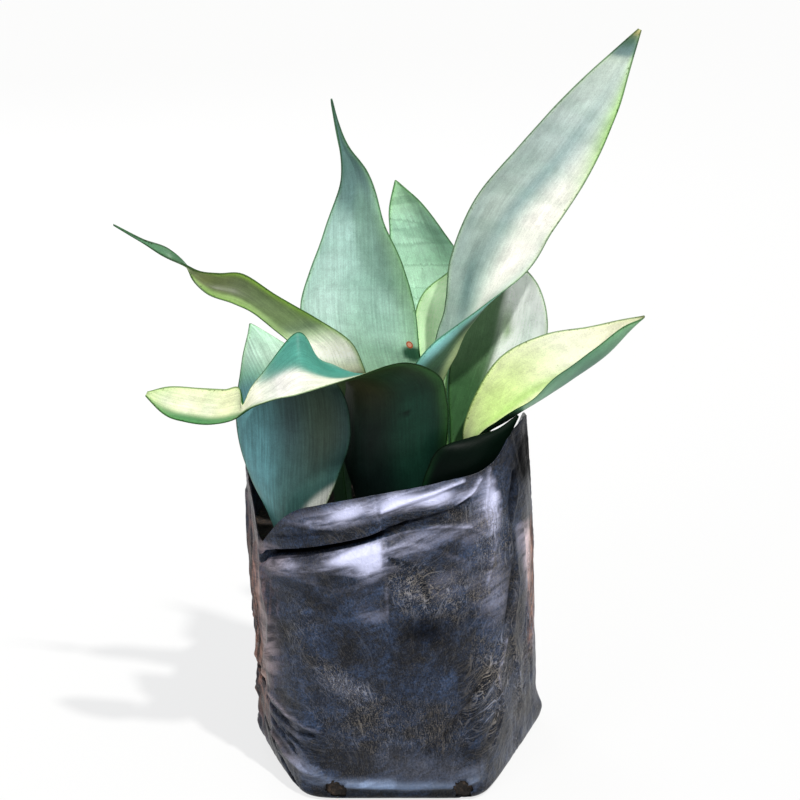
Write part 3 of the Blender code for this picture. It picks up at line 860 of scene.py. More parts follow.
# %% Leaves
FIRST_SEED = 11
for number, (name, rows) in enumerate(LEAVES.items()):
    (back, front), place, s, share = leaf_surface(rows, FIRST_SEED + number)
    look = LEAF_LOOKS[name]
    finish = leaf_finish("snake plant skin, grown " + name[-1], look)
    points = blade_loop(back, front) * MM
    piece = mesh_piece(name + "_blade", points, blade_faces(*points.shape[:2]), finish)
    tints = blade_loop(*(leaf_tint(look, side, share, s) for side in ("lower", "upper")))
    opaque = np.ones_like(tints[..., :1])
    store(piece, "tint", "FLOAT_COLOR", np.concatenate([tints, opaque], axis=-1))
    store(piece, "leaf_mm", "FLOAT_VECTOR", blade_loop(place, place))
    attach(piece, "root")
    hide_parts(name)
    print(name, "is", round(float(place[-1, 0, 1])), "mm long and", len(piece.data.polygons), "faces")

# %% [markdown]
# ## The grow bag: its form
# The pot is a flat-lying film sack filled with soil. A cylinder would be wrong: the base is a
# rounded hexagon with two ears where the bottom was folded, the mouth is a rounded square,
# and the top band has been turned so that a deep tuck runs under it. One function of the
# angle and the height gives the film's distance from the bag's axis, fold by fold.

# %% Bag sizes in millimetres
BASE_CORNERS = ((-54, -81), (47, -81), (85, 11), (50, 75), (-50, 75), (-83, -8))
TOP_HALF_WIDTH = 78.0
TOP_HALF_DEPTH = 71.0
TOP_SQUARENESS = 2.9
FULL_HEIGHT = 176.0
BASE_CENTRE = (2.0, -1.0)
TOP_CENTRE = (-7.5, -1.0)

# Height of the bag's rim in mm at angles round it: 0 is right, 270 is the front
RIM = (
    (0, 200), (22, 180), (45, 163), (90, 160), (140, 162), (180, 171), (200, 170), (209, 160),
    (215, 143), (219.5, 150), (226, 160.5), (232, 167.5), (244, 174), (256, 178), (270, 181),
    (285, 184), (300, 187.5), (309, 189.5), (316, 194.5), (323, 203.5), (332, 209), (342, 207.5),
    (351, 203.5),
)

# Height of the fold under the turned top band, at angles across the front
TUCK = ((205, 138), (215, 139), (223, 144), (241, 151), (263, 159), (278, 166), (300, 168))

# How open the tuck is at angles across the front, from 0 to 1
TUCK_OPEN = ((212, 0.0), (222, 1.0), (262, 0.95), (276, 0.40), (288, 0.0))
print("rim from", min(r[1] for r in RIM), "to", max(r[1] for r in RIM), "mm")

# %% Outlines of the base, rim and tuck
def bump(angle, centre, width):
    """One at the centre angle, falling smoothly to nothing a few widths away. Degrees."""
    off = (angle - centre + 180) % 360 - 180
    return np.exp(-((off / width) ** 2))


def rim_height(angle):
    """The rim's height at each angle, along a smooth closed curve."""
    table = np.array(RIM, float)
    before, after = table[-3:] - [360, 0], table[:3] + [360, 0]
    table = np.concatenate([before, table, after])
    return smooth_through(table[:, 0], table[:, 1:], angle)[:, 0]


def tuck_height(angle):
    """The height of the fold under the top band, always 6 mm or more below the rim."""
    table = np.array(TUCK, float)
    return np.minimum(np.interp(angle, table[:, 0], table[:, 1]), rim_height(angle) - 6)


def slit_share(angle):
    """How open the tuck under the turned band is, from 0 to 1, at each angle."""
    table = np.array(TUCK_OPEN)
    return np.interp(angle, table[:, 0], table[:, 1])


def base_radius(turn):
    """How far the rounded six-sided base reaches at each angle from its centre.

    Each side's straight line gives a distance. A high power mean of their inverses follows the
    nearest side and rounds the corners.
    """
    corners = np.array(BASE_CORNERS, float) - BASE_CENTRE
    sides = np.roll(corners, -1, axis=0) - corners
    out = unit(np.stack([sides[:, 1], -sides[:, 0]], axis=1))
    far = (out * corners).sum(axis=1)
    facing = out[:, 0, None, None] * np.cos(turn) + out[:, 1, None, None] * np.sin(turn)
    return (np.clip(facing / far[:, None, None], 0, None) ** 14).sum(axis=0) ** (-1 / 14)


reach = base_radius(np.radians(np.arange(360.0))[None])
print("the base reaches", round(float(reach.min())), "to", round(float(reach.max())), "mm out")

# %% [markdown]
# ## The grow bag: its folds
# A film sack keeps the folds that it was packed and handled with. Cloth simulation would
# invent others, so the main folds are named one by one: each is a line on the unrolled film,
# and the film stands out or sinks in along it. Sharp-backed noise adds the small wrinkles.

# %% Fold lines
DEGREE = 1.4


def crinkle(x, y, seed, wrap):
    """Sharp-backed wrinkles from 0 to 1: 1 - |2n - 1| of smooth noise n."""
    return 1 - np.abs(2 * ruled_noise(x, y, seed, wrap) - 1)


def near_line(angle, height, line, width):
    """How near a point lies to a line of (angle, height) corners: exp(-(distance/width)^2).

    The distance is taken on the unrolled film, where one degree is 1.4 mm.
    """
    closest = np.full(np.broadcast(angle, height).shape, 1e9)
    spot = np.stack([angle * DEGREE + 0 * height, height + 0 * angle], axis=-1)
    corners = np.array(line, float) * [DEGREE, 1.0]
    for start, end in zip(corners[:-1], corners[1:]):
        step = end - start
        part = ((spot - start) @ step / (step @ step)).clip(0, 1)
        off = np.linalg.norm(spot - start - part[..., None] * step, axis=-1)
        closest = np.minimum(closest, off)
    return np.exp(-((closest / width) ** 2))


# A fold of the film: how far it stands out, its width in mm, and its (angle, height) corners
FOLDS = (
    (-2.2, 1.3, ((188, 78), (195, 60), (208, 48), (222, 39.5), (237, 37))),
    (1.0, 1.6, ((190, 83), (198, 65), (210, 53), (224, 44), (240, 41))),
    (-1.6, 0.9, ((221, 33), (238, 28))),
    (-1.6, 1.2, ((206, 42), (220, 30), (229, 24))),
    (-2.0, 1.3, ((200, 24), (214, 12), (229, 3))),
    (-1.6, 2.0, ((305, 71), (290, 45), (278, 26))),
    (1.2, 2.0, ((309, 70), (294, 43), (283, 24))),
    (2.2, 1.5, ((214, 26), (222, 18), (239, 15.5), (247, 10.5), (269, 9), (288, 10), (298, 13))),
    (-0.9, 0.8, ((265, 179), (267, 163), (269, 152), (268, 121), (268, 90))),
    (1.5, 2.2, ((214, 136), (216, 119), (218, 100), (217, 84), (206, 58), (187, 28))),
    (1.5, 1.3, ((268, 171), (276, 175), (289, 180), (302, 186))),
    (-1.3, 1.2, ((270, 162), (284, 166), (297, 171), (304, 175))),
    (1.2, 1.3, ((286, 168), (298, 172), (306, 180), (309, 186))),
    (1.2, 1.4, ((278, 160), (290, 162), (303, 160), (311, 153))),
    (0.9, 1.6, ((268, 150), (277, 153), (289, 149), (300, 141))),
    (-1.2, 1.2, ((270, 145), (278, 141), (283, 132), (285, 121))),
    (0.8, 1.8, ((268, 136), (274, 143), (285, 146), (297, 140), (303, 128))),
    (-1.1, 1.4, ((297, 132), (303, 118), (300, 101))),
    (1.0, 1.2, ((232, 166), (240, 160), (250, 160), (262, 165))),
    (-1.0, 1.1, ((224, 151), (236, 155), (248, 159))),
    (1.5, 1.8, ((326, 172), (321, 150), (325, 120), (321, 90), (326, 60), (334, 28))),
    (-1.6, 1.4, ((325, 184), (322, 160), (323, 132), (318, 100))),
    (1.2, 1.2, ((313, 190), (310, 168), (314, 148), (309, 126))),
    (-1.2, 1.1, ((313, 92), (309, 72), (312, 50), (305, 34))),
    (1.2, 1.0, ((317, 88), (312, 68), (316, 46), (309, 28))),
    (-1.5, 1.4, ((332, 150), (336, 112), (330, 84), (338, 44))),
    (1.8, 2.4, ((207, 136), (205, 110), (201, 84), (198, 56), (192, 22))),
    (-1.8, 2.2, ((200, 156), (198, 124), (194, 92), (190, 64), (184, 36))),
    (1.5, 2.2, ((192, 160), (190, 128), (187, 100), (183, 70), (179, 44))),
    (-1.5, 2.4, ((184, 168), (182, 130), (180, 96), (175, 60))),
    (-1.4, 1.8, ((345, 170), (350, 120), (344, 80), (352, 40))),
    (-1.8, 2.4, ((38, 170), (52, 120), (47, 70), (60, 22))),
    (1.6, 2.6, ((86, 150), (92, 96), (84, 40))),
    (-1.8, 2.2, ((118, 165), (128, 110), (121, 60), (136, 20))),
    (1.4, 1.8, ((66, 140), (75, 112), (70, 80), (80, 50))),
    (-1.4, 2.0, ((18, 160), (24, 100), (14, 50))),
    (-1.5, 1.8, ((150, 140), (158, 90), (150, 40))),
    (1.3, 1.6, ((103, 120), (110, 84), (104, 56), (112, 24))),
    (-1.3, 1.6, ((168, 150), (164, 116), (171, 80), (166, 44))),
)
print(len(FOLDS), "named folds in the film")

# %% Film's distance from the axis
SIDE_BULGE = 4
FOOT_ROUND = 5.0
FOOT_BLEND = 55
TUCK_DEPTH = 6.0
TUCK_LIP = 0.9
TUCK_DEEP = 2.2
TUCK_SWELL = 9.0
SWELL_REACH = 2.8
EAR_REACH = 4.0
EAR_HEIGHT = 10
EAR_ANGLES = (185, 8)


def bag_radius(angle, height, tuck, tucked=True):
    """Distance of the film from the bag's axis, in mm.

    The plan passes from the base's hexagon to the mouth's rounded square, by the share
    exp(-(height / 55)^1.5). The tuck drops in sharply under the band's lip, stays deep for
    2 mm, then swells out again over 9 mm. The ears, two soft creases and a slow wave, the
    named folds and three sizes of wrinkles are added to it, and the foot is rounded off.
    """
    turn = np.radians(angle) + 0 * height
    rise = np.clip(height / FULL_HEIGHT, 0, 1.15)
    top = (
        np.abs(np.cos(turn) / TOP_HALF_WIDTH) ** TOP_SQUARENESS
        + np.abs(np.sin(turn) / (TOP_HALF_DEPTH + 6 * (1 - rise))) ** TOP_SQUARENESS
    ) ** (-1 / TOP_SQUARENESS)
    share = np.exp(-((height / FOOT_BLEND) ** 1.5))
    plain = base_radius(turn) * share + (top + SIDE_BULGE * rise * (1 - rise)) * (1 - share)
    under = tuck - height
    open_slit = slit_share(angle) * tucked
    lip = np.clip(under / TUCK_LIP, 0, 1)
    swell = np.clip((under - TUCK_DEEP) / TUCK_SWELL, 0, 1)
    swell = swell * swell * (3 - 2 * swell)
    groove = -TUCK_DEPTH * open_slit * lip * (1 - swell)
    full = SWELL_REACH * open_slit * swell * np.exp(-(((under - 11).clip(0) / 14) ** 2))
    low = np.exp(-(((height - EAR_HEIGHT) / 8) ** 2))
    ears = EAR_REACH * low * sum(bump(angle, centre, 6) for centre in EAR_ANGLES)
    crease = -1.6 * bump(angle, 266, 3.5) * (height < 60) + 2.2 * bump(angle, 215, 5)
    crease = crease + 1.2 * np.sin(np.radians(angle * 4 + height * 0.9))
    foot = FOOT_ROUND * (1 - np.sqrt(1 - (1 - np.clip(height / FOOT_ROUND, 0, 1)) ** 2))
    base = plain + groove + full + ears + crease * np.clip(height / 30, 0, 1) - foot
    for reach, width, line in FOLDS:
        base = base + reach * near_line(angle, height, line, width)
    loose = bump(angle, 196, 20) + 0.7 * bump(angle, 340, 20) + 0.25
    slant = angle / 360
    tall = 1.5 * loose * (crinkle(slant * 90 + height * 0.05, height / 70, 5, 90) - 0.5)
    lumps = 0.7 * (ruled_noise(slant * 50, height / 14, 8, 50) - 0.5)
    small = 0.25 * (crinkle(slant * 110 - height * 0.06, height / 7, 13, 110) - 0.5)
    return base + (tall + lumps + small) * np.clip(height / 12, 0, 1)


def film_point(angle, height, radius):
    """A point in mm from its angle, height and distance from the bag's leaning axis."""
    turn = np.radians(angle)
    rise = height / FULL_HEIGHT
    x = BASE_CENTRE[0] + (TOP_CENTRE[0] - BASE_CENTRE[0]) * rise + radius * np.cos(turn)
    y = BASE_CENTRE[1] + (TOP_CENTRE[1] - BASE_CENTRE[1]) * rise + radius * np.sin(turn)
    return np.stack([x, y, height + 0 * x], axis=-1)


reach = bag_radius(270.0, np.array([[90.0]]), 163.0)
print("the front bulges", round(float(reach[0, 0]), 1), "mm from the axis at half height")

# %% [markdown]
# ## The grow bag: its painted highlights and shade, its dust and wear
# The film is not one colour. Its highlights and reflections of the sky are painted as a lilac
# sheen, its shade is painted blue-black in the hollows and on faces turned from the light, and
# dust clings to the sides and to the lower wrinkles. Where the bag was handled it is worn into
# fine creases. A noise alone would put these anywhere, so each is a soft patch with a place of
# its own on the unrolled film.

# %% Film marks
# The film's painted light runs from DEEPEST, the darkest painted shade, to BRIGHTEST, the brightest
# painted highlight.
DEEPEST = -1.8
BRIGHTEST = 1.2

# A mark: middle angle and height, reach in degrees and in mm, lean in mm per degree, amount
# Painted highlights: the sheen where the glossy film faces the light or reflects the sky.
PAINTED_HIGHLIGHTS = (
    (257, 147, 12, 4.0, 0.45, 1.30),
    (263, 142, 8, 6.5, 0.35, 1.00),
    (246, 149, 8, 2.2, 0.45, 0.58),
    (252, 133, 14, 5.0, -0.10, 0.06),
    (277, 150, 9, 6.0, 0.30, 0.45),
    (291, 157, 16, 5.0, 0.00, 0.45),
    (274, 176, 10, 4.5, 0.33, 1.00),
    (291, 177, 9, 5.0, 0.25, 1.05),
    (254, 170, 8, 4.5, 0.35, 1.05),
    (240, 163, 9, 4.5, 0.30, 0.35),
    (312, 173, 7, 10.0, 0.00, 0.62),
    (314, 166, 2.5, 20.0, 0.00, 0.60),
    (312, 120, 7, 16.0, 0.00, 0.22),
    (337, 128, 5, 20.0, -1.50, 1.60),
    (328, 150, 4, 12.0, 0.00, 0.45),
    (238, 131, 9, 4.0, -0.30, 0.16),
    (226, 38, 6, 9.0, -0.60, 0.16),
    (215, 80, 5, 20.0, 0.00, 0.38),
    (209, 112, 5, 28.0, 0.00, 0.42),
    (206, 56, 5, 20.0, 0.00, 0.40),
    (345, 94, 5, 18.0, -1.50, 0.70),
    (351, 62, 5, 16.0, -1.50, 0.40),
    (290, 127, 12, 9.0, 0.40, 0.20),
    (257, 112, 16, 5.0, -0.10, 0.17),
    (225, 138, 9, 9.0, 0.00, 0.46),
    (251, 68, 10, 7.0, -0.60, 0.05),
    (230, 20, 7, 5.0, -0.60, 0.28),
    (268, 11.0, 26, 2.8, 0.00, 0.60),
    (297, 17, 6, 6.0, 0.40, 0.45),
    (90, 130, 50, 20.0, 0.00, 0.22),
    (24, 126, 16, 26.0, 0.00, 0.18),
    (140, 90, 20, 40.0, 0.00, 0.18),
)
# Painted shade: dark patches where the film lies in shade or is turned from the light.
SHADE = (
    (283, 103, 10, 9.0, 0.00, 1.35),
    (289, 168, 14, 4.0, 0.25, 0.60),
    (233, 153, 10, 5.0, 0.40, 0.60),
    (240, 119, 12, 5.0, -0.50, 0.60),
    (300, 50, 5, 16.0, 2.00, 0.60),
    (268, 45, 30, 12.0, 0.00, 0.20),
    (255, 92, 20, 9.0, -0.30, 0.35),
    (333, 188, 12, 28.0, 0.00, 1.90),
    (347, 184, 9, 24.0, 0.00, 1.30),
    (273, 62, 5, 22.0, 0.00, 0.30),
    (315, 30, 9, 22.0, 0.00, 0.80),
    (345, 35, 12, 25.0, 0.00, 0.60),
    (250, 132, 9, 3.0, 0.20, 0.35),
    (268, 3.0, 60, 3.6, 0.00, 1.10),
)
DUST = (
    (198, 90, 19, 90.0, 0.00, 0.50),
    (342, 120, 9, 60.0, 0.00, 0.62),
    (247, 6, 4, 5.0, 0.00, 0.50),
    (293, 6, 4, 5.0, 0.00, 0.50),
    (328, 40, 14, 40.0, 0.00, 0.12),
    (249, 68, 12, 8.0, -0.60, 0.30),
    (262, 36, 26, 14.0, 0.00, 0.26),
    (280, 18, 30, 12.0, 0.00, 0.30),
    (296, 166, 10, 5.0, 0.00, 0.35),
    (304, 60, 18, 50.0, 0.00, 0.12),
    (308, 172, 9, 12.0, 0.00, 0.22),
    (222, 110, 10, 40.0, 0.00, 0.10),
    (90, 20, 70, 25.0, 0.00, 0.34),
    (10, 60, 20, 60.0, 0.00, 0.30),
    (160, 70, 18, 60.0, 0.00, 0.30),
)
WEAR = (
    (309, 66, 8, 28.0, 0.00, 1.00),
    (313, 150, 8, 20.0, 0.00, 0.90),
    (250, 70, 10, 8.0, -0.60, 0.75),
    (294, 124, 16, 16.0, 0.00, 0.62),
    (276, 130, 8, 14.0, 0.00, 0.60),
    (270, 46, 34, 20.0, 0.00, 0.45),
    (300, 168, 12, 8.0, 0.00, 0.35),
    (232, 100, 12, 30.0, 0.00, 0.30),
    (195, 80, 12, 60.0, 0.00, 0.50),
    (343, 90, 12, 60.0, 0.00, 0.60),
    (330, 50, 16, 60.0, 0.00, 0.70),
    (90, 80, 90, 60.0, 0.00, 0.40),
)


def film_marks(marks, angle, height):
    """Sum of soft patches: amount times exp(-(da/ra)^2 - (dh/rh)^2), leaning by dh += lean da."""
    total = 0 * angle + 0 * height
    for a0, h0, reach_a, reach_h, lean, amount in marks:
        off_a = (angle - a0 + 180) % 360 - 180
        off_h = height - h0 - lean * off_a
        total = total + amount * np.exp(-((off_a / reach_a) ** 2) - (off_h / reach_h) ** 2)
    return total


print(len(PAINTED_HIGHLIGHTS), "hazy,", len(SHADE), "dark,", len(DUST), "dusty and", len(WEAR), "worn marks")

# %% [markdown]
# ## The grow bag: its film
# Polyethylene film is blown from black resin. It has a cool, slippery shine, and handling
# leaves dull dust, soft dents and many hair-fine creases on it. One even black with a single
# noise would look like rubber, so the finish is built up in layers: resin, whose tone carries
# the painted light and shade of the dents, a painted sheen of highlights and reflections, dust,
# creases with painted shade beside them, and painted shade in the hollows. Clouds and grains
# read object coordinates in millimetres, so no seam shows where the film closes. The creases
# read two values stored on the mesh, which run along and across the pulled film, and a wide
# noise bends them a little.

# %% Film patterns
# Plain noise: steps for each mm, detail, roughness
PLAIN_NOISE = {
    "cloud": (0.045, 7.0, 0.62),
    "grit": (0.8, 5.0, 0.75),
    "patches": (0.13, 3.0, 0.6),
    "flecks": (1.7, 2.0, 0.6),
}

# Drawn-out noise: turn in radians about the depth, size in mm, detail, roughness, distortion,
# then the range of the noise, and the share that it becomes at both ends of that range
LONG_NOISE = {
    "dents": (-0.5, (15.0, 14.0, 7.0), 5.0, 0.5, 1.4, 0.42, 0.60, 0.65, 1.40),
    "streaks": (-0.3, (22.0, 20.0, 4.5), 7.0, 0.62, 0.0, 0.36, 0.62, 0.2, 1.3),
    "strands": (0.12, (2.4, 2.4, 22.0), 4.0, 0.5, 0.6, 0.42, 0.60, 0.0, 1.0),
}


def film_patterns(tree, place):
    """Every noise of the film by name. A drawn-out one is squeezed into a smooth share."""
    found = {}
    for name, (scale, detail, rough) in PLAIN_NOISE.items():
        values = {"Scale": scale, "Detail": detail, "Roughness": rough}
        found[name] = add_node(tree, "TexNoise", {"Vector": place}, values).outputs["Fac"]
    for name, (turn, size, detail, rough, twist, low, high, first, last) in LONG_NOISE.items():
        values = {"Rotation": (0.0, turn, 0.0), "Scale": size}
        long = add_node(tree, "Mapping", {"Vector": place}, values, vector_type="TEXTURE")
        links = {"Vector": long.outputs[0]}
        values = {"Scale": 1.0, "Detail": detail, "Roughness": rough, "Distortion": twist}
        noise = add_node(tree, "TexNoise", links, values)
        links = {"Value": noise.outputs["Fac"]}
        values = {"From Min": low, "From Max": high, "To Min": first, "To Max": last}
        share = add_node(tree, "MapRange", links, values, interpolation_type="SMOOTHSTEP")
        found[name] = share.outputs[0]
    return found


print(len(PLAIN_NOISE), "plain and", len(LONG_NOISE), "drawn-out kinds of noise")

# %% Film resin, painted sheen and dust
def film_resin(tree, patterns):
    """Blue-black resin in soft clouds, times a fine grain and the painted light and shade of slanting
    dents 15 mm long.
    """
    values = {"From Min": 0.40, "From Max": 0.62}
    links = {"Value": patterns["cloud"]}
    clouded = add_node(tree, "MapRange", links, values, interpolation_type="SMOOTHSTEP").outputs[0]
    values = {6: rgba("#10151f"), 7: rgba("#1c273a")}
    colour = add_node(tree, "Mix", {0: clouded}, values, data_type="RGBA").outputs[2]
    values = {"From Min": 0.36, "From Max": 0.64, "To Min": 0.25, "To Max": 2.2}
    grain = add_node(tree, "MapRange", {"Value": patterns["grit"]}, values).outputs[0]
    links = {0: grain, 1: patterns["dents"]}
    tone = add_node(tree, "Math", links, operation="MULTIPLY").outputs[0]
    return add_node(tree, "VectorMath", {0: colour, "Scale": tone}, operation="SCALE").outputs[0]


def film_painted_sheen(tree, colour, patterns, marks):
    """Painted sheen: highlights and reflections painted lilac in front, rosy at the sides and
    steel blue near the foot.

    Weak marks break up into streaks 22 mm long. Strong ones, and those near the foot, stay
    whole, as on film that is stretched tight over the soil.
    """
    values = {"From Min": 0.3, "From Max": 0.7, "To Min": 0.7, "To Max": 1.15}
    grain = add_node(tree, "MapRange", {"Value": patterns["grit"]}, values).outputs[0]
    links = {0: patterns["streaks"], 1: grain}
    streaks = add_node(tree, "Math", links, operation="MULTIPLY").outputs[0]
    values = {"From Min": 0.22, "From Max": 0.75, "To Min": 0.0, "To Max": 0.95}
    whole = add_node(tree, "MapRange", {"Value": marks["haze"]}, values).outputs[0]
    foot = add_node(tree, "Math", {0: marks["foot"]}, {1: 0.9}, operation="MULTIPLY").outputs[0]
    for solid in (whole, foot):
        streaks = add_node(tree, "Math", {0: streaks, 1: solid}, operation="MAXIMUM").outputs[0]
    links = {0: marks["haze"], 1: streaks}
    amount = add_node(tree, "Math", links, operation="MULTIPLY", use_clamp=True).outputs[0]
    values = {6: rgba("#d3d6f6"), 7: rgba("#7e97ba")}
    tint = add_node(tree, "Mix", {0: marks["foot"]}, values, data_type="RGBA").outputs[2]
    links, values = {0: marks["clay"], 6: tint}, {7: rgba("#f0cfc4")}
    tint = add_node(tree, "Mix", links, values, data_type="RGBA").outputs[2]
    return add_node(tree, "Mix", {0: amount, 6: colour, 7: tint}, data_type="RGBA").outputs[2]


def film_dust(tree, colour, patterns, marks):
    """Dried dust in the wrinkles, with strands of red clay down the sides, and its amount.

    Dust lies where cloud times grit, plus the dusty marks, passes a third.
    """
    values = {6: rgba("#2a1b18"), 7: rgba("#b98a78")}
    red = add_node(tree, "Mix", {0: patterns["strands"]}, values, data_type="RGBA").outputs[2]
    links, values = {0: marks["clay"], 7: red}, {6: rgba("#55555a")}
    brown = add_node(tree, "Mix", links, values, data_type="RGBA").outputs[2]
    links = {0: patterns["cloud"], 1: patterns["grit"]}
    loose = add_node(tree, "Math", links, operation="MULTIPLY").outputs[0]
    loose = add_node(tree, "Math", {0: loose, 1: marks["dust"]}, operation="ADD").outputs[0]
    values = {"From Min": 0.36, "From Max": 0.92, "To Min": 0.0, "To Max": 0.9}
    links = {"Value": loose}
    loose = add_node(tree, "MapRange", links, values, interpolation_type="SMOOTHSTEP").outputs[0]
    colour = add_node(tree, "Mix", {0: loose, 6: colour, 7: brown}, data_type="RGBA").outputs[2]
    return colour, loose


print("resin, sheen and dust ready")

# %% Film creases
# A family of creases: width and length in mm, thickness of the line, turn from the flow
CREASES = ((3.6, 22.0, 0.018, 0.10), (2.0, 9.0, 0.020, -0.45), (2.6, 10.0, 0.012, 0.60))


def crease_lines(tree, flow, family):
    """Thin lines of one family, and the hollows beside them, which are painted dark as shade.

    A crease's back lies where smooth noise n, drawn out along the flow, passes 0.5, and its
    hollow where n passes 0.5 + 1.8 t, with t the line's thickness.
    """
    wide, long, thin, turn = family
    values = {
        "Location": (31.0 * wide, 17.0 * wide, 0.0),
        "Rotation": (0.0, 0.0, turn),
        "Scale": (wide, long, 1.0),
    }
    drawn = add_node(tree, "Mapping", {"Vector": flow}, values, vector_type="TEXTURE").outputs[0]
    values = {"Scale": 1.0, "Detail": 1.5, "Distortion": 0.7}
    wave = add_node(tree, "TexNoise", {"Vector": drawn}, values).outputs["Fac"]
    lines = []
    for level in (0.5, 0.5 + 1.8 * thin):
        off = add_node(tree, "Math", {0: wave}, {1: level}, operation="SUBTRACT").outputs[0]
        off = add_node(tree, "Math", {0: off}, operation="ABSOLUTE").outputs[0]
        values = {"From Max": thin, "To Min": 1.0, "To Max": 0.0}
        lines.append(add_node(tree, "MapRange", {"Value": off}, values).outputs[0])
    return lines


def film_creases(tree, colour, place, patterns, marks):
    """Hair-fine creases along the film's flow: their pale worn backs beside hollows of painted shade.

    They are many where the film was handled, few elsewhere, and bits of dried soil lie among
    them. Gives the colour and the relief, backs less hollows.
    """
    links = {0: marks["wear"], 1: patterns["patches"]}
    worn = add_node(tree, "Math", links, operation="MULTIPLY").outputs[0]
    values = {"From Min": 0.08, "From Max": 0.50, "To Min": 0.10, "To Max": 0.90}
    handled = add_node(tree, "MapRange", {"Value": worn}, values).outputs[0]
    flow = add_node(tree, "CombineXYZ", {"X": marks["across"], "Y": marks["along"]}).outputs[0]
    bend = add_node(tree, "TexNoise", {"Vector": place}, {"Scale": 0.035, "Detail": 1.0})
    links, values = {0: bend.outputs["Color"], 2: flow}, {1: (15.0, 15.0, 0.0)}
    flow = add_node(tree, "VectorMath", links, values, operation="MULTIPLY_ADD").outputs[0]
    backs, hollows = crease_lines(tree, flow, CREASES[0])
    for family in CREASES[1:]:
        back, hollow = crease_lines(tree, flow, family)
        backs = add_node(tree, "Math", {0: backs, 1: back}, operation="MAXIMUM").outputs[0]
        hollows = add_node(tree, "Math", {0: hollows, 1: hollow}, operation="MAXIMUM").outputs[0]
    values = {"From Min": 0.58, "From Max": 0.66}
    flecks = add_node(tree, "MapRange", {"Value": patterns["flecks"]}, values).outputs[0]
    backs, hollows, flecks = (
        add_node(tree, "Math", {0: lines, 1: handled}, operation="MULTIPLY").outputs[0]
        for lines in (backs, hollows, flecks)
    )
    links, values = {"Value": patterns["cloud"]}, {"From Min": 0.42, "From Max": 0.58}
    earthy = add_node(tree, "MapRange", links, values).outputs[0]
    values = {6: rgba("#9a9288"), 7: rgba("#939aae")}
    pale = add_node(tree, "Mix", {0: earthy}, values, data_type="RGBA").outputs[2]
    # Painted shade: the hollows are near black. The backs are pale with wear, and the flecks are bits
    # of dried soil.
    for links, values in (
        ({0: hollows}, {7: rgba("#07090e")}),
        ({0: backs, 7: pale}, {}),
        ({0: flecks}, {7: rgba("#a49b91")}),
    ):
        colour = add_node(tree, "Mix", {6: colour, **links}, values, data_type="RGBA").outputs[2]
    lift = add_node(tree, "Math", {0: backs, 1: hollows}, operation="SUBTRACT").outputs[0]
    return colour, lift


print(len(CREASES), "families of creases")

# %% Film finish
def film_relief(tree, place, patterns, lift):
    """The film's small relief: sharp slanting wrinkles, dents, grain and the fine creases."""
    values = {"Rotation": (0.0, -0.5, 0.0), "Scale": (9.0, 8.0, 4.0)}
    slant = add_node(tree, "Mapping", {"Vector": place}, values, vector_type="TEXTURE").outputs[0]
    values = {"Scale": 1.0, "Detail": 3.0, "Distortion": 0.8}
    kind = "RIDGED_MULTIFRACTAL"
    wrinkles = add_node(tree, "TexNoise", {"Vector": slant}, values, noise_type=kind)
    relief = None
    for height, strength, distance in (
        (wrinkles.outputs["Fac"], 0.5, 0.0010),
        (patterns["cloud"], 0.6, 0.004),
        (patterns["grit"], 0.35, 0.0005),
        (lift, 0.6, 0.0004),
    ):
        links = {"Height": height, "Normal": relief} if relief else {"Height": height}
        values = {"Strength": strength, "Distance": distance}
        relief = add_node(tree, "Bump", links, values).outputs[0]
    return relief


def film_finish():
    """Blown black polyethylene film: a smooth dark gloss, dulled by dust and creased.

    Dust roughens it. Where the painted light value is below zero, painted shade takes away the colour
    and the shine.
    The shine's socket also holds one value of its own, 0.15. The shine's own value is what the
    exported model keeps of it.
    """
    made, tree, shader = new_finish("black polyethylene film, blown and dusty")
    marks = {}
    for name in ("haze", "dust", "clay", "wear", "foot", "across", "along"):
        marks[name] = add_node(tree, "Attribute", attribute_name=name).outputs["Fac"]
    metres = add_node(tree, "TexCoord").outputs["Object"]
    place = add_node(tree, "VectorMath", {0: metres}, {"Scale": 1000.0}, operation="SCALE").outputs[0]
    patterns = film_patterns(tree, place)
    colour = film_resin(tree, patterns)
    colour = film_painted_sheen(tree, colour, patterns, marks)
    colour, loose = film_dust(tree, colour, patterns, marks)
    colour, lift = film_creases(tree, colour, place, patterns, marks)
    # Painted shade: below zero the painted light value scales the colour down to 3 per cent, and the
    # shine with it.
    values = {"From Min": DEEPEST, "From Max": 0.0, "To Min": 0.03, "To Max": 1.0}
    hollow = add_node(tree, "MapRange", {"Value": marks["haze"]}, values).outputs[0]
    links = {0: colour, "Scale": hollow}
    colour = add_node(tree, "VectorMath", links, operation="SCALE").outputs[0]
    tree.links.new(colour, shader.inputs["Base Color"])
    values = {"From Max": 0.9, "To Min": 0.30, "To Max": 0.8}
    dull = add_node(tree, "MapRange", {"Value": loose}, values).outputs[0]
    tree.links.new(dull, shader.inputs["Roughness"])
    values = {"From Max": 0.6, "To Min": 0.18, "To Max": 0.05}
    shine = add_node(tree, "MapRange", {"Value": loose}, values).outputs[0]
    shine = add_node(tree, "Math", {0: shine, 1: hollow}, operation="MULTIPLY").outputs[0]
    tree.links.new(shine, shader.inputs["Specular IOR Level"])
    shader.inputs["Specular IOR Level"].default_value = 0.15
    tree.links.new(film_relief(tree, place, patterns, lift), shader.inputs["Normal"])
    shader.inputs["IOR"].default_value = 1.51
    return made


print("shine falls from 0.18 on clean film to 0.05 under dust")

# %% [markdown]
# ## The grow bag: its walls
# Real film is a tenth of a millimetre thick. A single sheet would let the soil show through
# its back, and a Solidify modifier would tear in the tuck, so the film is a closed shell of
# two skins 0.6 mm apart. The outer skin has every fold. The inner one leaves the tuck out and
# steps back to make room for it, and both meet at the rim.

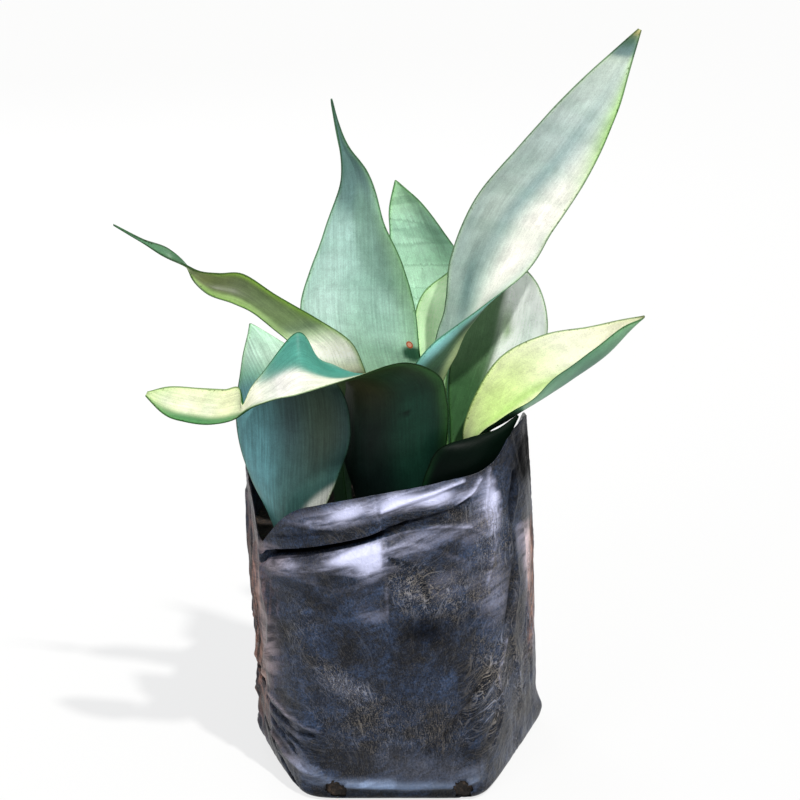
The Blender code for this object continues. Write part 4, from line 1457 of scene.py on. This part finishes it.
# %% Bag walls
BAG_COLUMNS = 400
FILM_SEEN = 0.6
LOW_ROWS = 14
SLIT_BELOW = 14
SLIT_ABOVE = 1.5
around = np.arange(BAG_COLUMNS) * 360.0 / BAG_COLUMNS
angle, rim, tuck = around[None], rim_height(around)[None], tuck_height(around)[None]
lower_rows = np.linspace(0, 1, 111)[:, None] * (tuck - SLIT_BELOW)
slit_rows = tuck + np.linspace(-SLIT_BELOW, SLIT_ABOVE, 36)[1:, None]
band_start = tuck + SLIT_ABOVE
band_rows = band_start + np.linspace(0, 1, 31)[1:, None] * (rim - tuck - SLIT_ABOVE)
heights = np.concatenate([lower_rows, slit_rows, band_rows])
outer = film_point(angle + 0 * heights, heights, bag_radius(angle, heights, tuck))
hang = 1.4 * slit_share(angle) * np.exp(-(((heights - tuck) / 2.5) ** 2)) * (heights >= tuck)
outer[..., 2] -= hang

# The inner skin has fewer rows, but near the foot the same ones, for the holes to join
steps = range(len(heights) - 1, 69, -3), range(66, LOW_ROWS, -4), range(LOW_ROWS - 1, -1, -1)
inner_heights = heights[[row for step in steps for row in step]]
inner_radius = bag_radius(angle, inner_heights, tuck, tucked=False) - FILM_SEEN
pocket = np.clip((tuck + 12 - inner_heights) / 8, 0, 1) * slit_share(angle)
pocket = pocket * np.clip((inner_heights - tuck + 34) / 16, 0, 1)
inner_radius = inner_radius - (TUCK_DEPTH + 0.4) * pocket
inner = film_point(angle + 0 * inner_heights, inner_heights, inner_radius)
inner[..., 2] = np.maximum(inner[..., 2], FILM_SEEN)
wall = np.concatenate([outer, inner])
print(len(outer), "rows outside and", len(inner), "inside,", BAG_COLUMNS, "points round each")

# %% [markdown]
# ## The grow bag: its drainage holes
# Two holes were punched low in the front, and the film tore round them. A Boolean cut would
# leave long thin faces. Here the squares inside each torn outline are left out of both skins,
# the points near it are moved onto it, and a lip of squares joins the two skins.

# %% Drainage holes
DRAIN_PLACES = (-35, 35)
DRAIN_HEIGHT = 7.5
DRAIN_RADIUS = 5.5
BASE_FRONT = -80
FRONT_DEPTH = 10
TEAR_REACH = 0.8


def torn_radius(turn, place):
    """Radius in mm of a torn drainage hole at each angle round it: a circle and three waves."""
    waves = 0.7 * np.sin(2 * turn + place) + 0.5 * np.sin(5 * turn + 2 * place)
    return DRAIN_RADIUS + waves + 0.35 * np.sin(9 * turn + place)


def from_hole(spots, place):
    """Angle and distance of points from a hole's middle, its torn radius, and which are in front."""
    off = spots - [place, BASE_FRONT, DRAIN_HEIGHT]
    turn = np.arctan2(off[..., 2], off[..., 0])
    far = np.hypot(off[..., 0], off[..., 2])
    return turn, far, torn_radius(turn, place), off[..., 1] < FRONT_DEPTH


front_low, back_low = wall[:LOW_ROWS], wall[: -LOW_ROWS - 1 : -1]
beside = np.roll(front_low, -1, axis=1)
middle = (front_low[:-1] + front_low[1:] + beside[:-1] + beside[1:]) / 4
hole = np.zeros(middle.shape[:2], bool)
for place in DRAIN_PLACES:
    _, far, ragged, near = from_hole(middle, place)
    hole |= (far < ragged) & near
    turn, far, ragged, near = from_hole(front_low, place)
    torn = (np.abs(far - ragged) < TEAR_REACH) & near
    for skin in (front_low, back_low):
        skin[torn, 0] = (place + ragged * np.cos(turn))[torn]
        skin[torn, 2] = (DRAIN_HEIGHT + ragged * np.sin(turn))[torn]
print(int(hole.sum()), "squares cut for drainage")

# %% Bag mesh
squares = grid_quads(len(wall), BAG_COLUMNS, wrap=True).reshape(len(wall) - 1, BAG_COLUMNS, 4)
kept = np.ones(squares.shape[:2], bool)
kept[: LOW_ROWS - 1] = ~hole
kept[:-LOW_ROWS:-1] = ~hole

# A border of a hole is a side of a missing square that no other missing square has reversed
start = squares[: LOW_ROWS - 1][hole]
start, end = start.ravel(), np.roll(start, -1, axis=1).ravel()
border = ~np.isin(end * wall.size + start, start * wall.size + end)
start, end = start[border], end[border]
top_row = (len(wall) - 1) * BAG_COLUMNS
across_film = [top_row + 2 * (spot % BAG_COLUMNS) - spot for spot in (end, start)]
lips = np.stack([start, end, *across_film], axis=1)

ring = np.arange(BAG_COLUMNS)
hub = np.full(BAG_COLUMNS, len(wall) * BAG_COLUMNS)
under = np.stack([hub, np.roll(ring, -1), ring], axis=1)
inside = np.stack([hub + 1, ring + top_row, np.roll(ring, -1) + top_row], axis=1)
hubs = np.array([[*BASE_CENTRE, 0.0], [*BASE_CENTRE, FILM_SEEN]])
spots = np.concatenate([wall.reshape(-1, 3), hubs]) * MM
faces = squares[kept].tolist() + lips.tolist() + under.tolist() + inside.tolist()
bag = mesh_piece("grow_bag_film", spots, faces, film_finish())
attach(bag, "root")
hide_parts("grow_bag")
print("bag film:", len(bag.data.polygons), "faces")

# %% [markdown]
# ## The grow bag: its marks, point by point
# The film finish reads, for each place, its painted highlight or painted shade and how dusty,
# worn and red it is. These could be painted by hand on an image, but then they would be fixed
# to one mesh. They are worked out for each point from the marks and the fold lines, so they
# stay on their folds when a size changes.

# %% Marks on the bag
# Folds whose backs get a painted highlight and folds that get painted shade: number and amount
GLINTS = (
    (1, 0.3), (8, 0.1), (10, 0.7), (12, 0.5), (13, 0.2), (14, 0.1), (22, 0.3), (24, 0.35),
)
DARK_FOLDS = (
    (0, 1.8), (2, 1.5), (3, 1.4), (4, 1.6), (5, 0.8), (11, 0.6), (15, 0.6), (21, 0.6),
)
FOOT_FOLD = 7
SEAM_ANGLE = 266.5
SEAM_END = 300
CLAY_SIDES = ((203, 21), (343, 13))
FLOW_MIDDLE = 110
FLOW_WAVE = 6

# Slant of the creases at angles from the front, in mm sideways for each mm up
PULL = (
    (-180, 0), (-90, 0.1), (-55, 0.1), (-28, 0.55), (0, 0.1), (24, -0.45), (40, -0.1), (60, 0),
    (180, 0),
)
wall_heights = np.concatenate([heights, inner_heights])
wall_angles = angle + 0 * wall_heights
outside = slice(0, len(heights))
# Painted shade in the open tuck under the band's lip, near black.
slit_dark = 1.7 * (1 - np.abs(tuck - heights - 2.9) / 3.0)
slit_dark = slit_share(angle) * np.clip(slit_dark, 0, 1)
shade = film_marks(SHADE, wall_angles, wall_heights)
# Right of the front seam, below the tuck, the painted highlight is halved.
seam = np.clip((wall_angles - SEAM_ANGLE) / 1.5, 0, 1)
seam = seam * (wall_heights < tuck - 1) * (wall_angles < SEAM_END)
haze = film_marks(PAINTED_HIGHLIGHTS, wall_angles, wall_heights) * (1 - 0.5 * seam)
# A painted highlight along the foot fold and on the glinting folds, painted shade along the dark folds,
# in the shade patches and in the tuck.
haze += 0.25 * near_line(wall_angles, wall_heights, FOLDS[FOOT_FOLD][2], 1.8)
for number, glint in GLINTS:
    haze += glint * near_line(wall_angles, wall_heights, FOLDS[number][2], 0.9)
for number, dark in DARK_FOLDS:
    haze -= dark * near_line(wall_angles, wall_heights, FOLDS[number][2], 1.0)
haze -= shade
haze[outside] = haze[outside] * (1 - slit_dark) - 2.2 * slit_dark
dust = film_marks(DUST, wall_angles, wall_heights)
# No dust shows in the tuck's painted shade, and less lies in the shade patches.
dust[outside] -= slit_dark
turned = (wall_angles - 90) % 360 - 180
pull = np.interp(turned, *np.array(PULL).T)
for name, values in (
    ("haze", haze.clip(DEEPEST, BRIGHTEST)),
    ("dust", dust - 0.6 * shade),
    ("wear", film_marks(WEAR, wall_angles, wall_heights).clip(0, 1)),
    ("clay", sum(bump(wall_angles, *side) for side in CLAY_SIDES).clip(0, 1)),
    ("foot", np.clip(1.2 - wall_heights / 34, 0, 1)),
    ("across", DEGREE * turned + pull * (wall_heights - FLOW_MIDDLE)),
    ("along", wall_heights + FLOW_WAVE * np.sin(turned / 14)),
):
    store(bag, name, "FLOAT", np.append(values, [0, 0]))
print("haze from", round(float(haze.min()), 1), "to", round(float(haze.max()), 1), "before it is cut")

# %% [markdown]
# ## The soil
# Potting soil is a loose dark mix of peat and bark. It fills the bag to 130 mm, and shows
# beside the leaves and through the drainage holes. A particle system could heap it up, but a
# packed soil moves as one body, so it is one surface of angle and step: up the side just
# inside the film, then in over the top, with lumps and crumbs added to its height.

# %% Soil finish
CRUMBS_PER_METRE = 350.0


def soil_finish():
    """Loose damp potting mix: near black-brown crumbs 3 mm across, with no shine at all."""
    made, tree, shader = new_finish("damp potting mix, loose")
    place = add_node(tree, "TexCoord").outputs["Object"]
    values = {"Scale": CRUMBS_PER_METRE, "Detail": 5.0, "Roughness": 0.7}
    crumb = add_node(tree, "TexNoise", {"Vector": place}, values).outputs["Fac"]
    values = {"From Min": 0.5, "From Max": 0.72}
    bits = add_node(tree, "MapRange", {"Value": crumb}, values).outputs[0]
    values = {6: rgba("#17110d"), 7: rgba("#4a3a2e")}
    colour = add_node(tree, "Mix", {0: bits}, values, data_type="RGBA").outputs[2]
    tree.links.new(colour, shader.inputs["Base Color"])
    relief = add_node(tree, "Bump", {"Height": crumb}, {"Strength": 0.8, "Distance": 0.001})
    tree.links.new(relief.outputs[0], shader.inputs["Normal"])
    shader.inputs["Roughness"].default_value = 0.95
    return made


print("soil crumbs", round(1000 / CRUMBS_PER_METRE, 1), "mm across")

# %% Soil surface
SOIL_COLUMNS = 240
SOIL_TOP = 130.0
SOIL_GAP = 1.2
SOIL_FOOT = 1.6
SETTLED = 0.5


def soil_level(x, y):
    """Height in mm of the loose soil's top: lumps of 9 mm and crumbs of 3 mm on one level."""
    lumps = 4.5 * (ruled_noise(x / 9 + 40, y / 9 + 40, 21) - 0.5)
    crumbs = 2.4 * (ruled_noise(x / 3 + 80, y / 3 + 80, 22) - 0.5)
    return SOIL_TOP - SETTLED + lumps + crumbs


around = np.arange(SOIL_COLUMNS) * 360.0 / SOIL_COLUMNS
side_heights = np.linspace(SOIL_FOOT, SOIL_TOP, 50)[:, None] + 0 * around[None]
side_radius = bag_radius(around[None], side_heights, tuck_height(around)[None]) - SOIL_GAP
side = film_point(around[None] + 0 * side_heights, side_heights, side_radius)
inward = np.linspace(1, 0, 70)[1:, None, None]
soil_hub = np.array([*BASE_CENTRE, SOIL_TOP])
top = soil_hub + (side[-1][None] - soil_hub) * inward
level = soil_level(top[..., 0], top[..., 1])
top[..., 2] = level + (SOIL_TOP - SETTLED - level) * inward[..., 0] ** 12
rings = np.concatenate([side, top[:-1]])
ring = np.arange(SOIL_COLUMNS)
last = ring + (len(rings) - 1) * SOIL_COLUMNS
hub = np.full(SOIL_COLUMNS, len(rings) * SOIL_COLUMNS)
under = np.stack([hub, np.roll(ring, -1), ring], axis=1)
over = np.stack([hub + 1, last, np.roll(last, -1)], axis=1)
soil_faces = grid_quads(len(rings), SOIL_COLUMNS, wrap=True).tolist()
soil_faces += under.tolist() + over.tolist()
soil_spots = np.concatenate([rings.reshape(-1, 3), [[*BASE_CENTRE, SOIL_FOOT]], top[-1, :1]])
print("soil from", SOIL_FOOT, "to", round(float(soil_spots[:, 2].max()), 1), "mm high")

# %% [markdown]
# ## The soil: its bark
# Potting mix holds chips of bark, and those on top catch the light. Each could be an instance
# of one chip, but then all would look alike, and one mesh is easier to hand on. Every bit here
# is a lump of twenty faces with its own random shape, and none is left where a leaf stands.

# %% Bark on the soil
BARK_BITS = 460
BARK_REACH = 66
BARK_OFF_CENTRE = 7
BARK_SEED = 4
LEAF_CLEAR = 2.5
TOP_ZONE = 8


def bark_bits(centres, sizes, draw):
    """Closed lumps of twenty faces: each corner of an icosahedron moved in or out at random."""
    long = (1 + math.sqrt(5)) / 2
    corners = [
        corner
        for a in (-1, 1)
        for b in (-long, long)
        for corner in ((0, a, b), (a, b, 0), (b, 0, a))
    ]
    corners = unit(np.array(corners, float))
    near = np.linalg.norm(corners[:, None] - corners[None], axis=2) < 1.1
    triples = np.argwhere(near[:, :, None] & near[None] & near[:, None])
    triples = triples[(triples[:, 0] < triples[:, 1]) & (triples[:, 1] < triples[:, 2])]
    a, b, c = (corners[triples[:, k]] for k in range(3))
    outward = (np.cross(b - a, c - a) * a).sum(axis=1) > 0
    triples = np.where(outward[:, None], triples, triples[:, [0, 2, 1]])
    rough = draw.uniform(0.6, 1.15, (len(centres), 12, 1))
    rough = rough * draw.uniform(0.6, 1.3, (len(centres), 1, 3))
    spots = centres[:, None] + corners[None] * rough * sizes[:, None, None]
    steps = 12 * np.arange(len(centres))[:, None, None]
    return spots.reshape(-1, 3), (triples[None] + steps).reshape(-1, 3)


draw = np.random.default_rng(BARK_SEED)
turn = draw.uniform(0, 2 * math.pi, BARK_BITS)
reach = np.sqrt(draw.uniform(0, 1, BARK_BITS)) * BARK_REACH
bits_x = soil_hub[0] - BARK_OFF_CENTRE + reach * np.cos(turn)
bits_y = soil_hub[1] + reach * np.sin(turn)
sizes = draw.uniform(0.9, 2.6, BARK_BITS)
bits = np.column_stack([bits_x, bits_y, soil_level(bits_x, bits_y) + 0.3 * sizes])
clear = np.ones(BARK_BITS, bool)
for rows in LEAVES.values():
    blade = leaf_middle(rows, np.linspace(0, 1, 31))[0].reshape(-1, 3)
    blade = blade[np.abs(blade[:, 2] - SOIL_TOP) < TOP_ZONE]
    if len(blade):
        off = np.linalg.norm(bits[:, None] - blade[None], axis=2).min(axis=1)
        clear &= off > sizes * 1.3 + LEAF_CLEAR
bit_spots, bit_faces = bark_bits(bits[clear], sizes[clear], draw)
soil_faces += (bit_faces + len(soil_spots)).tolist()
soil_spots = np.concatenate([soil_spots, bit_spots]) * MM
soil = mesh_piece("potting_soil", soil_spots, soil_faces, soil_finish())
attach(soil, "root")
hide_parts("soil")
print("soil:", len(soil.data.polygons), "faces,", int(clear.sum()), "bits of bark on it")
